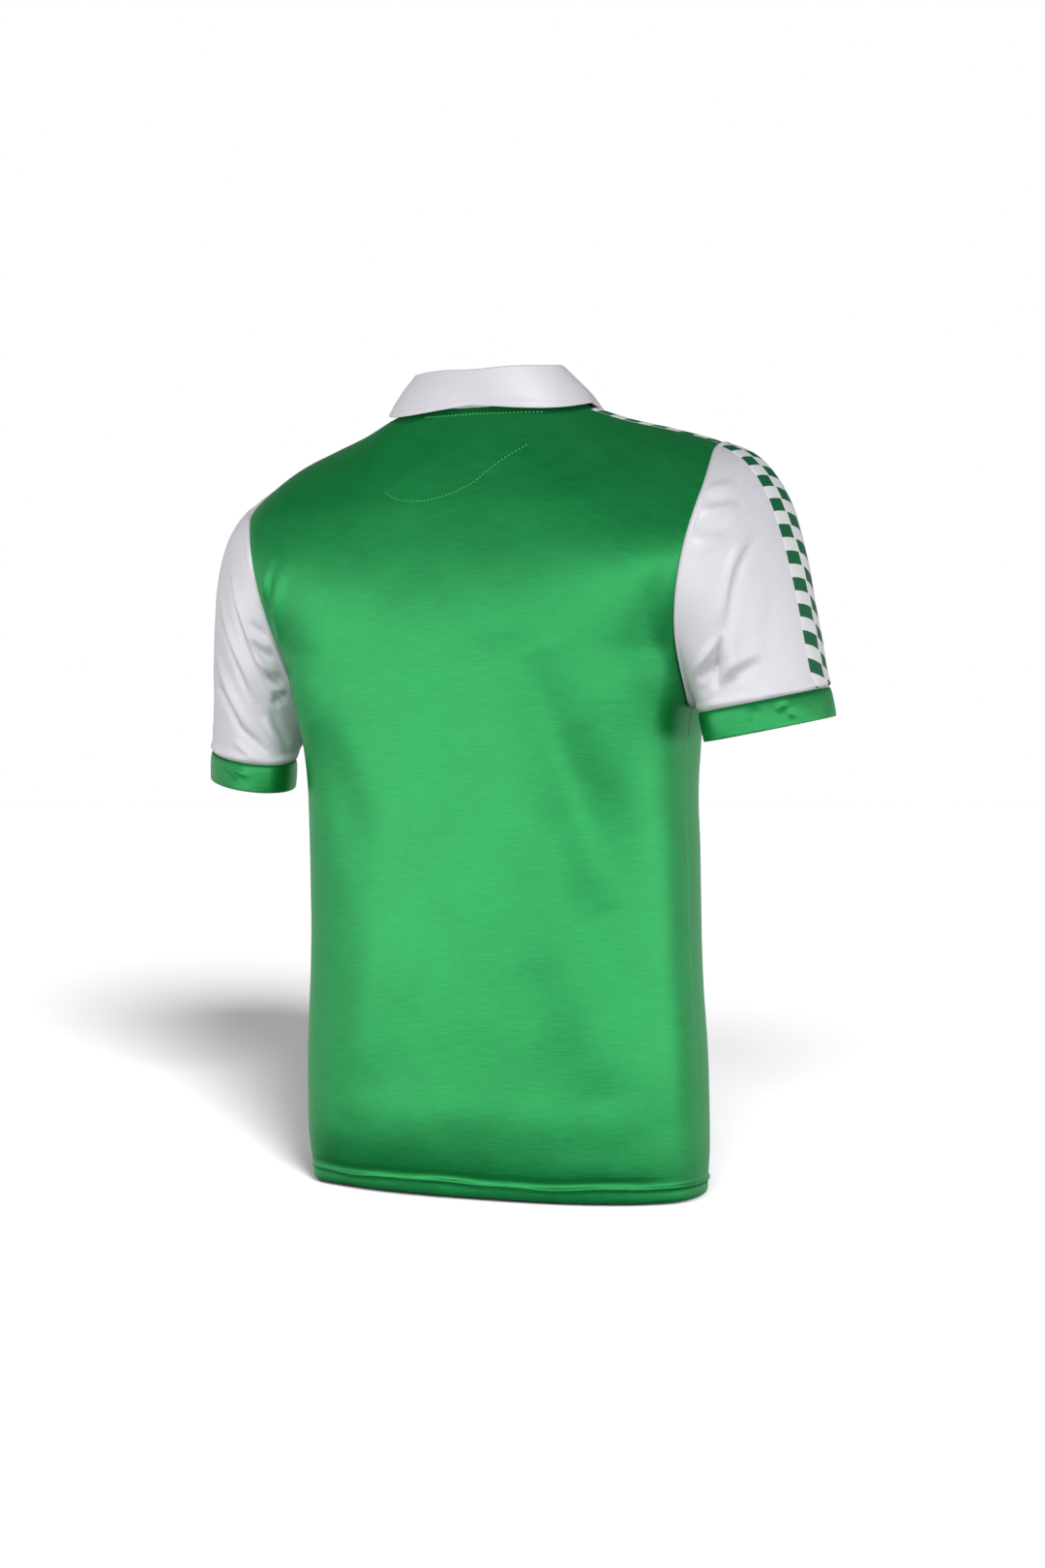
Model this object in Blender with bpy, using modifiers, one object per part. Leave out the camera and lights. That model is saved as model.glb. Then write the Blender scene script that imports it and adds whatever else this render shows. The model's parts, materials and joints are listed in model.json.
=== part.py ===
"""Football jersey, filled out as if worn: green body, white collar and sleeves, green cuffs.

Run with: blender --background --python part.py

Frame: metres, +Z up, the wearer's front faces -Y and the wearer's left arm is at +X. The
origin is the neck base, midway between the two points where shoulder seam and neck meet.

The body is a hollow form. Below the yoke level its rings are level superellipses. Above
it the cloth arches over the shoulder line, from the back and from the front. Each panel
is a grid on that form, cut at the neck, the armholes and the side seams. Each sleeve is
lofted from its armhole to a tilted oval cuff. Every wall is an open sheet with Solidify.
"""

from collections import namedtuple

import bpy
import numpy as np

# ---- Cloth and seams ---------------------------------------------------------------
KNIT_WALL = 0.0012
BAND_WALL = 0.0016
COLLAR_WALL = 0.0014
TAPE_WALL = 0.0008
SEAM_GAP = 0.0003
SEAM_GAP_HALF = SEAM_GAP / 2

# ---- Body --------------------------------------------------------------------------
BODY_LENGTH = 0.701
HEM_HEIGHT = 0.016
HEM_STEP = 0.0008
# The body hangs a little askew: from this height down it leans to the wearer's right.
LEAN_LEVEL = -0.360
HEM_LEAN = -0.0048
YOKE_LEVEL = -0.140
UNDERARM_LEVEL = -0.270
ARCH_POWER = 1.7

Section = namedtuple("Section", "height half_width back front back_square front_square")
SECTIONS = (
    Section(-0.140, 0.2580, 0.1120, -0.1170, 3.10, 2.80),
    Section(-0.170, 0.2400, 0.1115, -0.1200, 3.05, 2.90),
    Section(-0.190, 0.2250, 0.1105, -0.1230, 3.10, 2.90),
    Section(-0.220, 0.2040, 0.1090, -0.1270, 3.07, 2.90),
    Section(-0.250, 0.1928, 0.1065, -0.1300, 3.20, 2.75),
    Section(-0.270, 0.1870, 0.1050, -0.1320, 3.20, 2.60),
    Section(-0.320, 0.1820, 0.1025, -0.1340, 2.80, 2.45),
    Section(-0.400, 0.1825, 0.1010, -0.1340, 2.42, 2.40),
    Section(-0.500, 0.1840, 0.1010, -0.1340, 2.35, 2.35),
    Section(-0.600, 0.1890, 0.1005, -0.1325, 2.35, 2.35),
    Section(-0.630, 0.1895, 0.1000, -0.1315, 2.33, 2.33),
    Section(-0.660, 0.1900, 0.0970, -0.1290, 2.30, 2.30),
    Section(-0.710, 0.1870, 0.0880, -0.1210, 2.30, 2.30),
)

ShoulderRow = namedtuple("ShoulderRow", "across height depth")
SHOULDER_LINE = (
    ShoulderRow(0.000, 0.0160, 0.021),
    ShoulderRow(0.030, 0.0148, 0.020),
    ShoulderRow(0.087, 0.0000, 0.014),
    ShoulderRow(0.127, -0.0140, -0.004),
    ShoulderRow(0.165, -0.0235, -0.023),
    ShoulderRow(0.203, -0.0355, -0.036),
    ShoulderRow(0.240, -0.0560, -0.044),
)
SHOULDER_HALF_WIDTH = 0.203

ArmholeRow = namedtuple("ArmholeRow", "height back_half_width front_half_width")
ARMHOLE = (
    ArmholeRow(-0.036, 0.2030, 0.2030),
    ArmholeRow(-0.057, 0.2115, 0.2020),
    ArmholeRow(-0.078, 0.2158, 0.2010),
    ArmholeRow(-0.103, 0.2155, 0.1980),
    ArmholeRow(-0.134, 0.2110, 0.1940),
    ArmholeRow(-0.170, 0.2024, 0.1900),
    ArmholeRow(-0.204, 0.1958, 0.1880),
    ArmholeRow(-0.220, 0.1938, 0.1875),
    ArmholeRow(-0.250, 0.1912, 0.1880),
    ArmholeRow(-0.270, 0.1870, 0.1870),
)

# A soft fold runs down a panel from one place to another, given from the centre and the neck.
BodyFold = namedtuple("BodyFold", "back across_a height_a across_b height_b width depth")
BODY_FOLDS = (
    BodyFold(True, -0.050, -0.230, -0.150, -0.580, 0.034, 0.0040),
    BodyFold(True, -0.088, -0.250, -0.140, -0.400, 0.024, -0.0060),
    BodyFold(True, 0.140, -0.280, 0.085, -0.430, 0.028, -0.0035),
    BodyFold(True, 0.060, -0.430, 0.110, -0.640, 0.034, 0.0030),
    BodyFold(False, 0.130, -0.270, 0.060, -0.420, 0.028, -0.0050),
    BodyFold(False, -0.120, -0.260, -0.040, -0.450, 0.030, -0.0040),
    BodyFold(False, -0.090, -0.480, -0.050, -0.660, 0.036, 0.0035),
    BodyFold(False, 0.070, -0.460, 0.100, -0.660, 0.034, 0.0030),
)
FOLD_EDGE_FADE = 0.030

# ---- Neck and collar ---------------------------------------------------------------
NECK_HALF_WIDTH = 0.087
NAPE_DEPTH = 0.056
NECK_ROUNDNESS = 2.2
V_DEPTH = 0.118
V_START = 0.006

# Place 0 is the foot of the V and 1 the centre back. Lean is towards the neck.
CollarRow = namedtuple("CollarRow", "place stand lean reach clearance")
COLLAR = (
    CollarRow(0.00, 0.004, 0.05, 0.060, 0.0032),
    CollarRow(0.20, 0.010, 0.35, 0.050, 0.0034),
    CollarRow(0.40, 0.021, 0.65, 0.032, 0.0044),
    CollarRow(0.58, 0.0345, 0.90, 0.012, 0.0056),
    CollarRow(0.78, 0.0340, 1.30, 0.012, 0.0052),
    CollarRow(1.00, 0.0310, 1.20, 0.003, 0.0050),
)
FALL_BULGE = 0.0015
ROLL_RADIUS = 0.0026
SETTLE_REACH = 0.020
NECK_MIDDLE = np.array([0.0, -0.020, -0.030])
BODY_MIDDLE = np.array([0.0, 0.0, -0.190])

# ---- Sleeves and cuffs -------------------------------------------------------------
CUFF_HEIGHT = 0.026
CUFF_PROUD = 0.0006

SleevePose = namedtuple(
    "SleevePose",
    "side name out back height major minor major_angle rise_out rise_back head_up head_pull",
)
SLEEVES = (
    SleevePose(+1, "left", 0.260, -0.006, -0.323, 0.060, 0.038, -45.0, 0.12, -0.13, -0.21, 1.06),
    SleevePose(-1, "right", 0.254, -0.008, -0.277, 0.060, 0.041, -45.0, 0.17, -0.10, -0.17, 1.15),
)

# The way the cloth leaves the armhole, and how strongly, at the side and the underarm.
SleeveAim = namedtuple("SleeveAim", "out sideways up pull arrive_pull")
HEAD_AIM_OUT = 0.95
HEAD_ARRIVE_PULL = 0.90
SIDE_AIM = SleeveAim(0.70, 0.20, -0.69, 0.50, 0.75)
UNDERARM_AIM = SleeveAim(0.60, 0.00, -0.80, 0.45, 0.45)

# A fold runs across a sleeve from one angle and share of its length to another. The mean
# length and radius of a sleeve turn these into distances.
SLEEVE_REACH = 0.18
SLEEVE_RADIUS = 0.055
SLEEVE_FOLD_FADE = 0.5
SleeveFold = namedtuple("SleeveFold", "side angle_a along_a angle_b along_b width depth")
SLEEVE_FOLDS = (
    SleeveFold(+1, 55, 0.25, 125, 0.70, 0.014, -0.0040),
    SleeveFold(+1, 40, 0.45, 110, 0.90, 0.014, -0.0035),
    SleeveFold(+1, 240, 0.30, 300, 0.75, 0.016, -0.0035),
    SleeveFold(-1, 40, 0.28, 95, 0.52, 0.014, -0.0045),
    SleeveFold(-1, 80, 0.65, 125, 0.85, 0.015, 0.0035),
    SleeveFold(-1, 240, 0.30, 300, 0.75, 0.016, -0.0035),
)

# ---- Tapes -------------------------------------------------------------------------
TAPE_WIDTH = 0.038
TAPE_LIFT = 0.0012
TAPE_END_SHARE = 0.06
SHOULDER_TAPE_BEHIND = -0.006
SHOULDER_TAPE_START = 0.100
# Where the sleeve tape's middle runs: a share of the sleeve's length, and the angle there.
TapePlace = namedtuple("TapePlace", "along angle")
SLEEVE_TAPE_PATH = (
    TapePlace(0.00, 2.0),
    TapePlace(0.25, 7.0),
    TapePlace(0.50, 9.0),
    TapePlace(0.75, 4.0),
    TapePlace(1.00, -2.0),
)
SLEEVE_TAPE_SEARCH = 100.0

# ---- Grid sizes --------------------------------------------------------------------
PANEL_HALF_COLUMNS = 13
NECK_COLUMNS = 6
YOKE_ROWS = 8
ARMHOLE_ROWS = 7
BODY_ROWS = 9
EDGE_SHARE = 0.015
EDGE_TURN = 0.03
RING_SAMPLES = 240
SLEEVE_ROWS = 10
CUFF_ROWS = 2
STAND_STEPS = 2
ROLL_STEPS = 4
FALL_STEPS = 5
TAPE_STEPS = 14
TAPE_COLUMNS = 4
ARMHOLE_ROW_POWER = 0.8
HEM_STEP_RUN = 0.002
SEAM_PASSES = 8
SLOPE_STEP = 1e-4
WALK_STEP = 0.003
TINY = 1e-6


# ---- Small tools -------------------------------------------------------------------
def smooth_row(rows, key):
    """One row read off smooth curves through a table, at a value of its first column."""
    table = np.array(rows, dtype=float)
    order = np.argsort(table[:, 0])
    table = table[order]
    keys = table[:, 0]
    key = float(np.clip(key, keys[0], keys[-1]))
    slopes = np.gradient(table, keys, axis=0)
    index = int(np.clip(np.searchsorted(keys, key) - 1, 0, len(keys) - 2))
    span = keys[index + 1] - keys[index]
    share = (key - keys[index]) / span
    start, end = table[index], table[index + 1]
    leave, arrive = slopes[index] * span, slopes[index + 1] * span
    cubic = (
        (2 * share**3 - 3 * share**2 + 1) * start
        + (share**3 - 2 * share**2 + share) * leave
        + (3 * share**2 - 2 * share**3) * end
        + (share**3 - share**2) * arrive
    )
    return cubic


def unit(vector):
    """The vector at length one."""
    return vector / np.linalg.norm(vector)


def signed_power(value, power):
    """A power that keeps the sign."""
    return np.sign(value) * np.abs(value) ** power


def along_line(points, count):
    """This many points at even distances along a polyline."""
    steps = np.linalg.norm(np.diff(points, axis=0), axis=1)
    travelled = np.concatenate([[0.0], np.cumsum(steps)])
    wanted = np.linspace(0.0, travelled[-1], count)
    return np.column_stack([np.interp(wanted, travelled, points[:, i]) for i in range(3)])


# ---- The body form -----------------------------------------------------------------
def section_at(height):
    """The level ring at a height."""
    return Section(*smooth_row(SECTIONS, height))


def ring_point(section, angle):
    """A point of a level ring. Angle 0 is the left side seam and 90 degrees the centre back."""
    power = 2.0 / np.where(angle >= 0, section.back_square, section.front_square)
    across = section.half_width * signed_power(np.cos(angle), power)
    lift = signed_power(np.sin(angle), power)
    depth = np.where(lift >= 0, section.back * lift, -section.front * lift)
    return np.stack([across, depth, np.full_like(across, section.height)], axis=-1)


def depth_at(section, across, back):
    """How far back, or forward, a level ring reaches at a distance from the centre."""
    share = np.clip(abs(across) / section.half_width, 0.0, 1.0)
    square = section.back_square if back else section.front_square
    reach = (1.0 - share**square) ** (1.0 / square)
    return (section.back if back else section.front) * reach


def arch_point(across, turn, back):
    """A point over the shoulder. Turn 0 is the shoulder line, 90 degrees the yoke level.

    Past 90 degrees the point runs on down the panel.
    """
    ridge = ShoulderRow(*smooth_row(SHOULDER_LINE, abs(across)))
    rise = ridge.height - YOKE_LEVEL
    past = max(turn - np.pi / 2, 0.0)
    height = YOKE_LEVEL - past * rise
    edge = depth_at(section_at(height), across, back)
    inside = min(turn, np.pi / 2)
    power = 2.0 / ARCH_POWER
    if past == 0.0:
        height = ridge.height - rise * (1.0 - np.cos(inside) ** power)
    depth = ridge.depth + (edge - ridge.depth) * np.sin(inside) ** power
    return np.array([across, depth, height])


def turn_at_height(across, height):
    """The turn over the shoulder at which the cloth has this height."""
    ridge = ShoulderRow(*smooth_row(SHOULDER_LINE, abs(across)))
    share = np.clip((height - YOKE_LEVEL) / (ridge.height - YOKE_LEVEL), 0.0, 1.0)
    return float(np.arccos(share ** (ARCH_POWER / 2.0)))


def turn_at_depth(across, depth, back):
    """The turn over the shoulder at which the cloth lies this far back or forward."""
    ridge = ShoulderRow(*smooth_row(SHOULDER_LINE, abs(across)))
    edge = depth_at(section_at(YOKE_LEVEL), across, back)
    share = np.clip((depth - ridge.depth) / (edge - ridge.depth), 0.0, 1.0)
    return float(np.arcsin(share ** (ARCH_POWER / 2.0)))


def neck_turn(across, back):
    """The turn at which the neck cut crosses a line this far from the centre."""
    share = min(abs(across) / NECK_HALF_WIDTH, 1.0)
    if back:
        ridge = ShoulderRow(*smooth_row(SHOULDER_LINE, NECK_HALF_WIDTH))
        bulge = (1.0 - share**NECK_ROUNDNESS) ** (1.0 / NECK_ROUNDNESS)
        depth = ridge.depth + (NAPE_DEPTH - ridge.depth) * bulge
        return turn_at_depth(across, depth, back)
    return turn_at_height(across, -V_DEPTH * (1.0 - share))


# ---- Panels ------------------------------------------------------------------------
def armhole_half_width(height, back):
    """Half the panel's width at the armhole, at a height."""
    row = ArmholeRow(*smooth_row(ARMHOLE, height))
    return row.back_half_width if back else row.front_half_width


def edge_over_shoulder(turn, back):
    """The armhole edge of a panel at a turn over the shoulder."""
    across = SHOULDER_HALF_WIDTH
    for _ in range(SEAM_PASSES):
        across = armhole_half_width(arch_point(across, turn, back)[2], back)
    return across


def level_row(height, back, columns):
    """Half a row of a panel, from the centre to its edge, at even distances."""
    section = section_at(height)
    edge = min(armhole_half_width(height, back) / section.half_width, 1.0)
    if height <= UNDERARM_LEVEL:
        edge = 1.0
    square = section.back_square if back else section.front_square
    edge_angle = np.arccos(edge ** (square / 2.0))
    angles = np.linspace(np.pi / 2, edge_angle, RING_SAMPLES)
    line = ring_point(section, angles if back else -angles)
    length = np.linalg.norm(np.diff(line, axis=0), axis=1).sum()
    share = 1.0 - SEAM_GAP_HALF / length
    fine = along_line(line, RING_SAMPLES)
    travelled = np.linspace(0.0, 1.0, RING_SAMPLES)
    wanted = np.append(np.linspace(0.0, share - EDGE_SHARE, columns), share)
    return np.column_stack([np.interp(wanted, travelled, fine[:, i]) for i in range(3)])


def top_half_columns(back):
    """Distances from the centre of a panel's top edge: the neck, then the shoulder seam."""
    neck = np.linspace(0.0, NECK_HALF_WIDTH, NECK_COLUMNS + 1)
    if back:
        neck = NECK_HALF_WIDTH * np.sin(np.linspace(0.0, np.pi / 2, NECK_COLUMNS + 1))
    near_edge = SHOULDER_HALF_WIDTH * (1.0 - EDGE_SHARE)
    shoulder = np.linspace(NECK_HALF_WIDTH, near_edge, PANEL_HALF_COLUMNS - NECK_COLUMNS)
    return np.concatenate([neck, shoulder[1:], [SHOULDER_HALF_WIDTH]])


def yoke_downs():
    """How far down to the yoke level each row above it lies, with one close to the seam."""
    return [0.0, EDGE_TURN, *np.linspace(0.0, 1.0, YOKE_ROWS)[1:-1]]


def yoke_rows(back):
    """The half rows above the yoke level."""
    top = top_half_columns(back)
    yoke = level_row(YOKE_LEVEL, back, PANEL_HALF_COLUMNS)[:, 0]
    side = 1.0 if back else -1.0
    rows = []
    for down in yoke_downs():
        edge = edge_over_shoulder(down * np.pi / 2, back)
        shares = (1 - down) * top / top[-1] + down * yoke / yoke[-1]
        row = []
        for column, share in enumerate(shares):
            start = neck_turn(top[column], back) if column < NECK_COLUMNS else 0.0
            turn = start + (np.pi / 2 - start) * down
            point = arch_point(share * edge, turn, back)
            if column >= NECK_COLUMNS and down == 0.0:
                point[1] += side * SEAM_GAP_HALF
            row.append(point)
        rows.append(np.array(row))
    return rows


def level_heights():
    """Heights of the rows from the yoke level to the hem, with a pair at the hem's step."""
    armhole = np.linspace(0.0, 1.0, ARMHOLE_ROWS + 1) ** ARMHOLE_ROW_POWER
    upper = YOKE_LEVEL + (UNDERARM_LEVEL - YOKE_LEVEL) * armhole
    hem_top = -BODY_LENGTH + HEM_HEIGHT
    lower = np.linspace(UNDERARM_LEVEL, hem_top + HEM_STEP_RUN, BODY_ROWS + 1)[1:]
    return np.concatenate([upper, lower, [hem_top, -BODY_LENGTH]])


def body_fold_depth(across, height, back):
    """How far a panel's cloth stands out or sinks in at a place, none at its side edges."""
    place = np.array([across, height])
    total = 0.0
    for fold in BODY_FOLDS:
        if fold.back != back:
            continue
        start = np.array([fold.across_a, fold.height_a])
        end = np.array([fold.across_b, fold.height_b])
        share = np.dot(place - start, end - start) / np.dot(end - start, end - start)
        nearest = start + (end - start) * np.clip(share, 0.0, 1.0)
        total += fold.depth * np.exp(-((np.linalg.norm(place - nearest) / fold.width) ** 2))
    edge = min(armhole_half_width(height, back), section_at(height).half_width)
    return total * np.clip((edge - abs(across)) / FOLD_EDGE_FADE, 0.0, 1.0)


def panel_points(back):
    """The whole grid of a panel: rows from the neck to the hem, columns from left to right."""
    rows = yoke_rows(back)
    hem_top = -BODY_LENGTH + HEM_HEIGHT
    for height in level_heights():
        row = level_row(height, back, PANEL_HALF_COLUMNS)
        if height <= hem_top + TINY:
            centre = np.array([0.0, 0.0, height])
            outward = row - centre
            row = row + outward / np.linalg.norm(outward, axis=1)[:, None] * HEM_STEP
        rows.append(row)
    half = np.array(rows)
    other = half[:, 1:] * np.array([-1.0, 1.0, 1.0])
    grid = np.concatenate([half[:, ::-1], other], axis=1)
    side = 1.0 if back else -1.0
    for point in grid[len(yoke_downs()) :].reshape(-1, 3):
        point[1] += side * body_fold_depth(point[0], point[2], back)
    lean = np.clip((LEAN_LEVEL - grid[..., 2]) / (LEAN_LEVEL + BODY_LENGTH), 0.0, 1.0)
    grid[..., 0] += HEM_LEAN * lean
    return grid


# ---- Sleeves -----------------------------------------------------------------------
def armhole_corner_points(back):
    """The corners down the left armhole edge of a panel, shoulder point to underarm."""
    return panel_points(back)[: len(yoke_downs()) + ARMHOLE_ROWS + 1, 0]


def armhole_ring():
    """The left armhole's corners, and the angle of each: 0 at the top and 90 at the back."""
    down = armhole_corner_points(True)
    up = armhole_corner_points(False)[::-1]
    top, underarm = (down[0] + up[-1]) / 2, (down[-1] + up[0]) / 2
    halves = (
        np.vstack([top, down[1:-1], underarm]),
        np.vstack([underarm, up[1:-1], top]),
    )
    angles = []
    for number, half in enumerate(halves):
        steps = np.linalg.norm(np.diff(half, axis=0), axis=1)
        travelled = np.concatenate([[0.0], np.cumsum(steps)])
        angles.append(180.0 * (number + travelled / travelled[-1]))
    ring = np.vstack([halves[0], halves[1][1:]])
    return ring, np.concatenate([angles[0], angles[1][1:]])


def aim_at(pose, angle):
    """The sleeve's aim at an angle, blended from the head, the sides and the underarm."""
    head = SleeveAim(HEAD_AIM_OUT, 0.0, pose.head_up, pose.head_pull, HEAD_ARRIVE_PULL)
    lift = np.cos(np.radians(angle))
    shares = ((1 + lift) ** 2 / 4, (1 + lift) * (1 - lift) / 2, (1 - lift) ** 2 / 4)
    mixed = sum(
        share * np.array(aim) for share, aim in zip(shares, (head, SIDE_AIM, UNDERARM_AIM))
    )
    return SleeveAim(*mixed)


def cuff_ring(pose, angles, drop=0.0, proud=0.0):
    """Points of the oval where sleeve and cuff meet, or this far below it."""
    turned = np.radians(angles - pose.major_angle)
    major, minor = pose.major + proud, pose.minor + proud
    radius = 1.0 / np.sqrt((np.cos(turned) / major) ** 2 + (np.sin(turned) / minor) ** 2)
    out = radius * np.cos(np.radians(angles))
    back = radius * np.sin(np.radians(angles))
    axis = unit(np.array([-pose.rise_out, -pose.rise_back, 1.0]))
    rise = pose.rise_out * out + pose.rise_back * back
    ring = np.column_stack([pose.out + out, pose.back + back, pose.height + rise])
    return ring + axis * (CUFF_HEIGHT / 2 - drop)


def fold_depth(pose, angle, along):
    """How far the sleeve's cloth stands out or sinks in at a place."""
    scale = np.array([np.radians(1.0) * SLEEVE_RADIUS, SLEEVE_REACH])
    place = np.array([angle % 360.0, along]) * scale
    total = 0.0
    for fold in SLEEVE_FOLDS:
        if fold.side != pose.side:
            continue
        start = np.array([fold.angle_a, fold.along_a]) * scale
        end = np.array([fold.angle_b, fold.along_b]) * scale
        share = np.dot(place - start, end - start) / np.dot(end - start, end - start)
        nearest = start + (end - start) * np.clip(share, 0.0, 1.0)
        distance = np.linalg.norm(place - nearest)
        total += fold.depth * np.exp(-((distance / fold.width) ** 2))
    return total


def sleeve_points(pose, angles, shares):
    """Points of a left-hand sleeve, a row for each share of its length, and their normals."""
    corners, corner_angles = armhole_ring()
    turned = np.mod(angles, 360.0)
    start = np.column_stack([np.interp(turned, corner_angles, corners[:, i]) for i in range(3)])
    end = cuff_ring(pose, angles)
    aims = [aim_at(pose, angle) for angle in angles]
    reach = np.linalg.norm(end - start, axis=1)
    sideways = np.sin(np.radians(angles))
    leave = np.array([[aim.out, aim.sideways, aim.up] for aim in aims])
    leave[:, 1] *= sideways
    start = start + leave / np.linalg.norm(leave, axis=1)[:, None] * SEAM_GAP
    leave *= (np.array([aim.pull for aim in aims]) * reach)[:, None]
    axis = unit(np.array([pose.rise_out, pose.rise_back, -1.0]))
    arrive = axis * (np.array([aim.arrive_pull for aim in aims]) * reach)[:, None]
    grid = []
    for share in shares:
        grid.append(
            (2 * share**3 - 3 * share**2 + 1) * start
            + (share**3 - 2 * share**2 + share) * leave
            + (3 * share**2 - 2 * share**3) * end
            + (share**3 - share**2) * arrive
        )
    grid = np.array(grid)
    normals = outward_normals(grid)
    for row, share in enumerate(shares):
        fade = np.sin(np.pi * np.clip(share, 0.0, 1.0)) ** SLEEVE_FOLD_FADE
        for column, angle in enumerate(angles):
            grid[row, column] += normals[row, column] * fade * fold_depth(pose, angle, share)
    return grid, normals


def outward_normals(grid):
    """Unit normals of a grid whose rows run down and whose columns run round from the left."""
    down = np.gradient(grid, axis=0)
    around = np.gradient(grid, axis=1)
    normals = np.cross(down, around)
    return normals / np.maximum(np.linalg.norm(normals, axis=2, keepdims=True), TINY**2)


# ---- Collar ------------------------------------------------------------------------
def over_point(across, over):
    """A point of the form: over the shoulder to the back if positive, to the front if not."""
    return arch_point(across, abs(over), over >= 0)


def form_frame(across, over):
    """The point, its outward normal and its two slopes along the form."""
    here = over_point(across, over)
    over_way = over_point(across, over + SLOPE_STEP) - over_point(across, over - SLOPE_STEP)
    across_way = over_point(across + SLOPE_STEP, over) - over_point(across - SLOPE_STEP, over)
    over_way /= 2 * SLOPE_STEP
    across_way /= 2 * SLOPE_STEP
    normal = unit(np.cross(over_way, across_way))
    if np.dot(normal, here - BODY_MIDDLE) < 0:
        normal = -normal
    return here, normal, across_way, over_way


def walk_out(across, over, heading, distance):
    """The point and normal this far over the cloth from a place, in a heading."""
    steps = max(int(np.ceil(distance / WALK_STEP)), 1)
    here, normal, across_way, over_way = form_frame(across, over)
    for _ in range(steps):
        ways = np.column_stack([across_way, over_way])
        move = np.linalg.lstsq(ways, heading, rcond=None)[0]
        move *= distance / steps / np.linalg.norm(ways @ move)
        across, over = across + move[0], over + move[1]
        before = here
        here, normal, across_way, over_way = form_frame(across, over)
        heading = unit(here - before)
    return here, normal


def neckline():
    """Stations on the left half of the neckline: V foot, neck point, centre back.

    They are the corners of the panels' neck edges and the points halfway between them.
    """
    front = top_half_columns(False)[: NECK_COLUMNS + 1]
    back = top_half_columns(True)[: NECK_COLUMNS + 1]
    places = [(across, -neck_turn(across, False)) for across in front]
    places += [(across, neck_turn(across, True)) for across in back[-2::-1]]
    corners = np.array(places)
    halfway = (corners[1:] + corners[:-1]) / 2
    stations = np.empty((len(corners) + len(halfway), 2))
    stations[::2], stations[1::2] = corners, halfway
    bases = np.array([over_point(*corner) for corner in corners])
    base = np.empty((len(stations), 3))
    base[::2], base[1::2] = bases, (bases[1:] + bases[:-1]) / 2
    share = V_START / corners[1, 0]
    stations[0] = corners[0] + (corners[1] - corners[0]) * share
    base[0] = bases[0] + (bases[1] - bases[0]) * share
    return stations, base


def collar_section(row):
    """The collar's visible face in section: distance from the neckline, and height."""
    up = unit(np.array([-row.lean, 1.0]))
    side = np.array([up[1], -up[0]])
    foot = np.array([-SEAM_GAP - COLLAR_WALL, -KNIT_WALL])
    top = foot + up * row.stand
    centre = top + side * ROLL_RADIUS
    edge = np.array([row.reach, row.clearance])
    gap = edge - centre
    aim = np.arctan2(gap[1], gap[0]) + np.arccos(ROLL_RADIUS / np.linalg.norm(gap))
    begin = np.arctan2(-side[1], -side[0])
    if begin < aim:
        begin += 2 * np.pi
    turns = np.linspace(begin, aim, ROLL_STEPS + 1)
    roll = [centre + ROLL_RADIUS * np.array([np.cos(turn), np.sin(turn)]) for turn in turns]
    stand = [foot + (top - foot) * share for share in np.linspace(0, 1, STAND_STEPS + 1)[:-1]]
    across = unit(edge - roll[-1])
    lift = np.array([-across[1], across[0]])
    fall = [
        roll[-1] + (edge - roll[-1]) * share + lift * FALL_BULGE * np.sin(np.pi * share)
        for share in np.linspace(0, 1, FALL_STEPS + 1)[1:]
    ]
    return np.array(stand + roll + fall)


def collar_points():
    """The collar's grid: a row for each station round the neck."""
    stations, bases = neckline()
    travelled = np.concatenate([[0.0], np.cumsum(np.linalg.norm(np.diff(bases, axis=0), axis=1))])
    along = np.gradient(bases, axis=0)
    rows = []
    for number, (station, base) in enumerate(zip(stations, bases)):
        section = CollarRow(*smooth_row(COLLAR, travelled[number] / travelled[-1]))
        here, normal, _, _ = form_frame(*station)
        way = along[number]
        if number == len(stations) - 1:
            way = np.array([-1.0, 0.0, 0.0])
        inward = unit(np.cross(way, normal))
        if np.dot(inward, NECK_MIDDLE - base) < 0:
            inward = -inward
        row = []
        for out, height in collar_section(section):
            if out <= 0:
                row.append(base - inward * out + normal * height)
                continue
            point, up = walk_out(*station, -inward, out)
            settle = (base - here) * max(1.0 - out / SETTLE_REACH, 0.0)
            row.append(point + settle + up * height)
        rows.append(row)
    half = np.array(rows)
    half[-1, :, 0] = 0.0
    other = half[:-1][::-1] * np.array([-1.0, 1.0, 1.0])
    return np.concatenate([half, other])[::-1]


# ---- Tapes -------------------------------------------------------------------------
def shoulder_tape_points():
    """The left shoulder tape, along the shoulder line and a little ahead of it."""
    offsets = np.linspace(-TAPE_WIDTH / 2, TAPE_WIDTH / 2, TAPE_COLUMNS + 1)
    ends = (SHOULDER_TAPE_START, SHOULDER_HALF_WIDTH - TAPE_LIFT)
    grid = []
    for across in np.linspace(*ends, TAPE_STEPS):
        ridge = ShoulderRow(*smooth_row(SHOULDER_LINE, across))
        row = []
        for offset in offsets:
            depth = ridge.depth + SHOULDER_TAPE_BEHIND + offset
            back = depth >= ridge.depth
            over = turn_at_depth(across, depth, back) * (1 if back else -1)
            here, normal, _, _ = form_frame(across, over)
            row.append(here + normal * (TAPE_LIFT + TAPE_WALL))
        grid.append(row)
    return np.array(grid)


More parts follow.
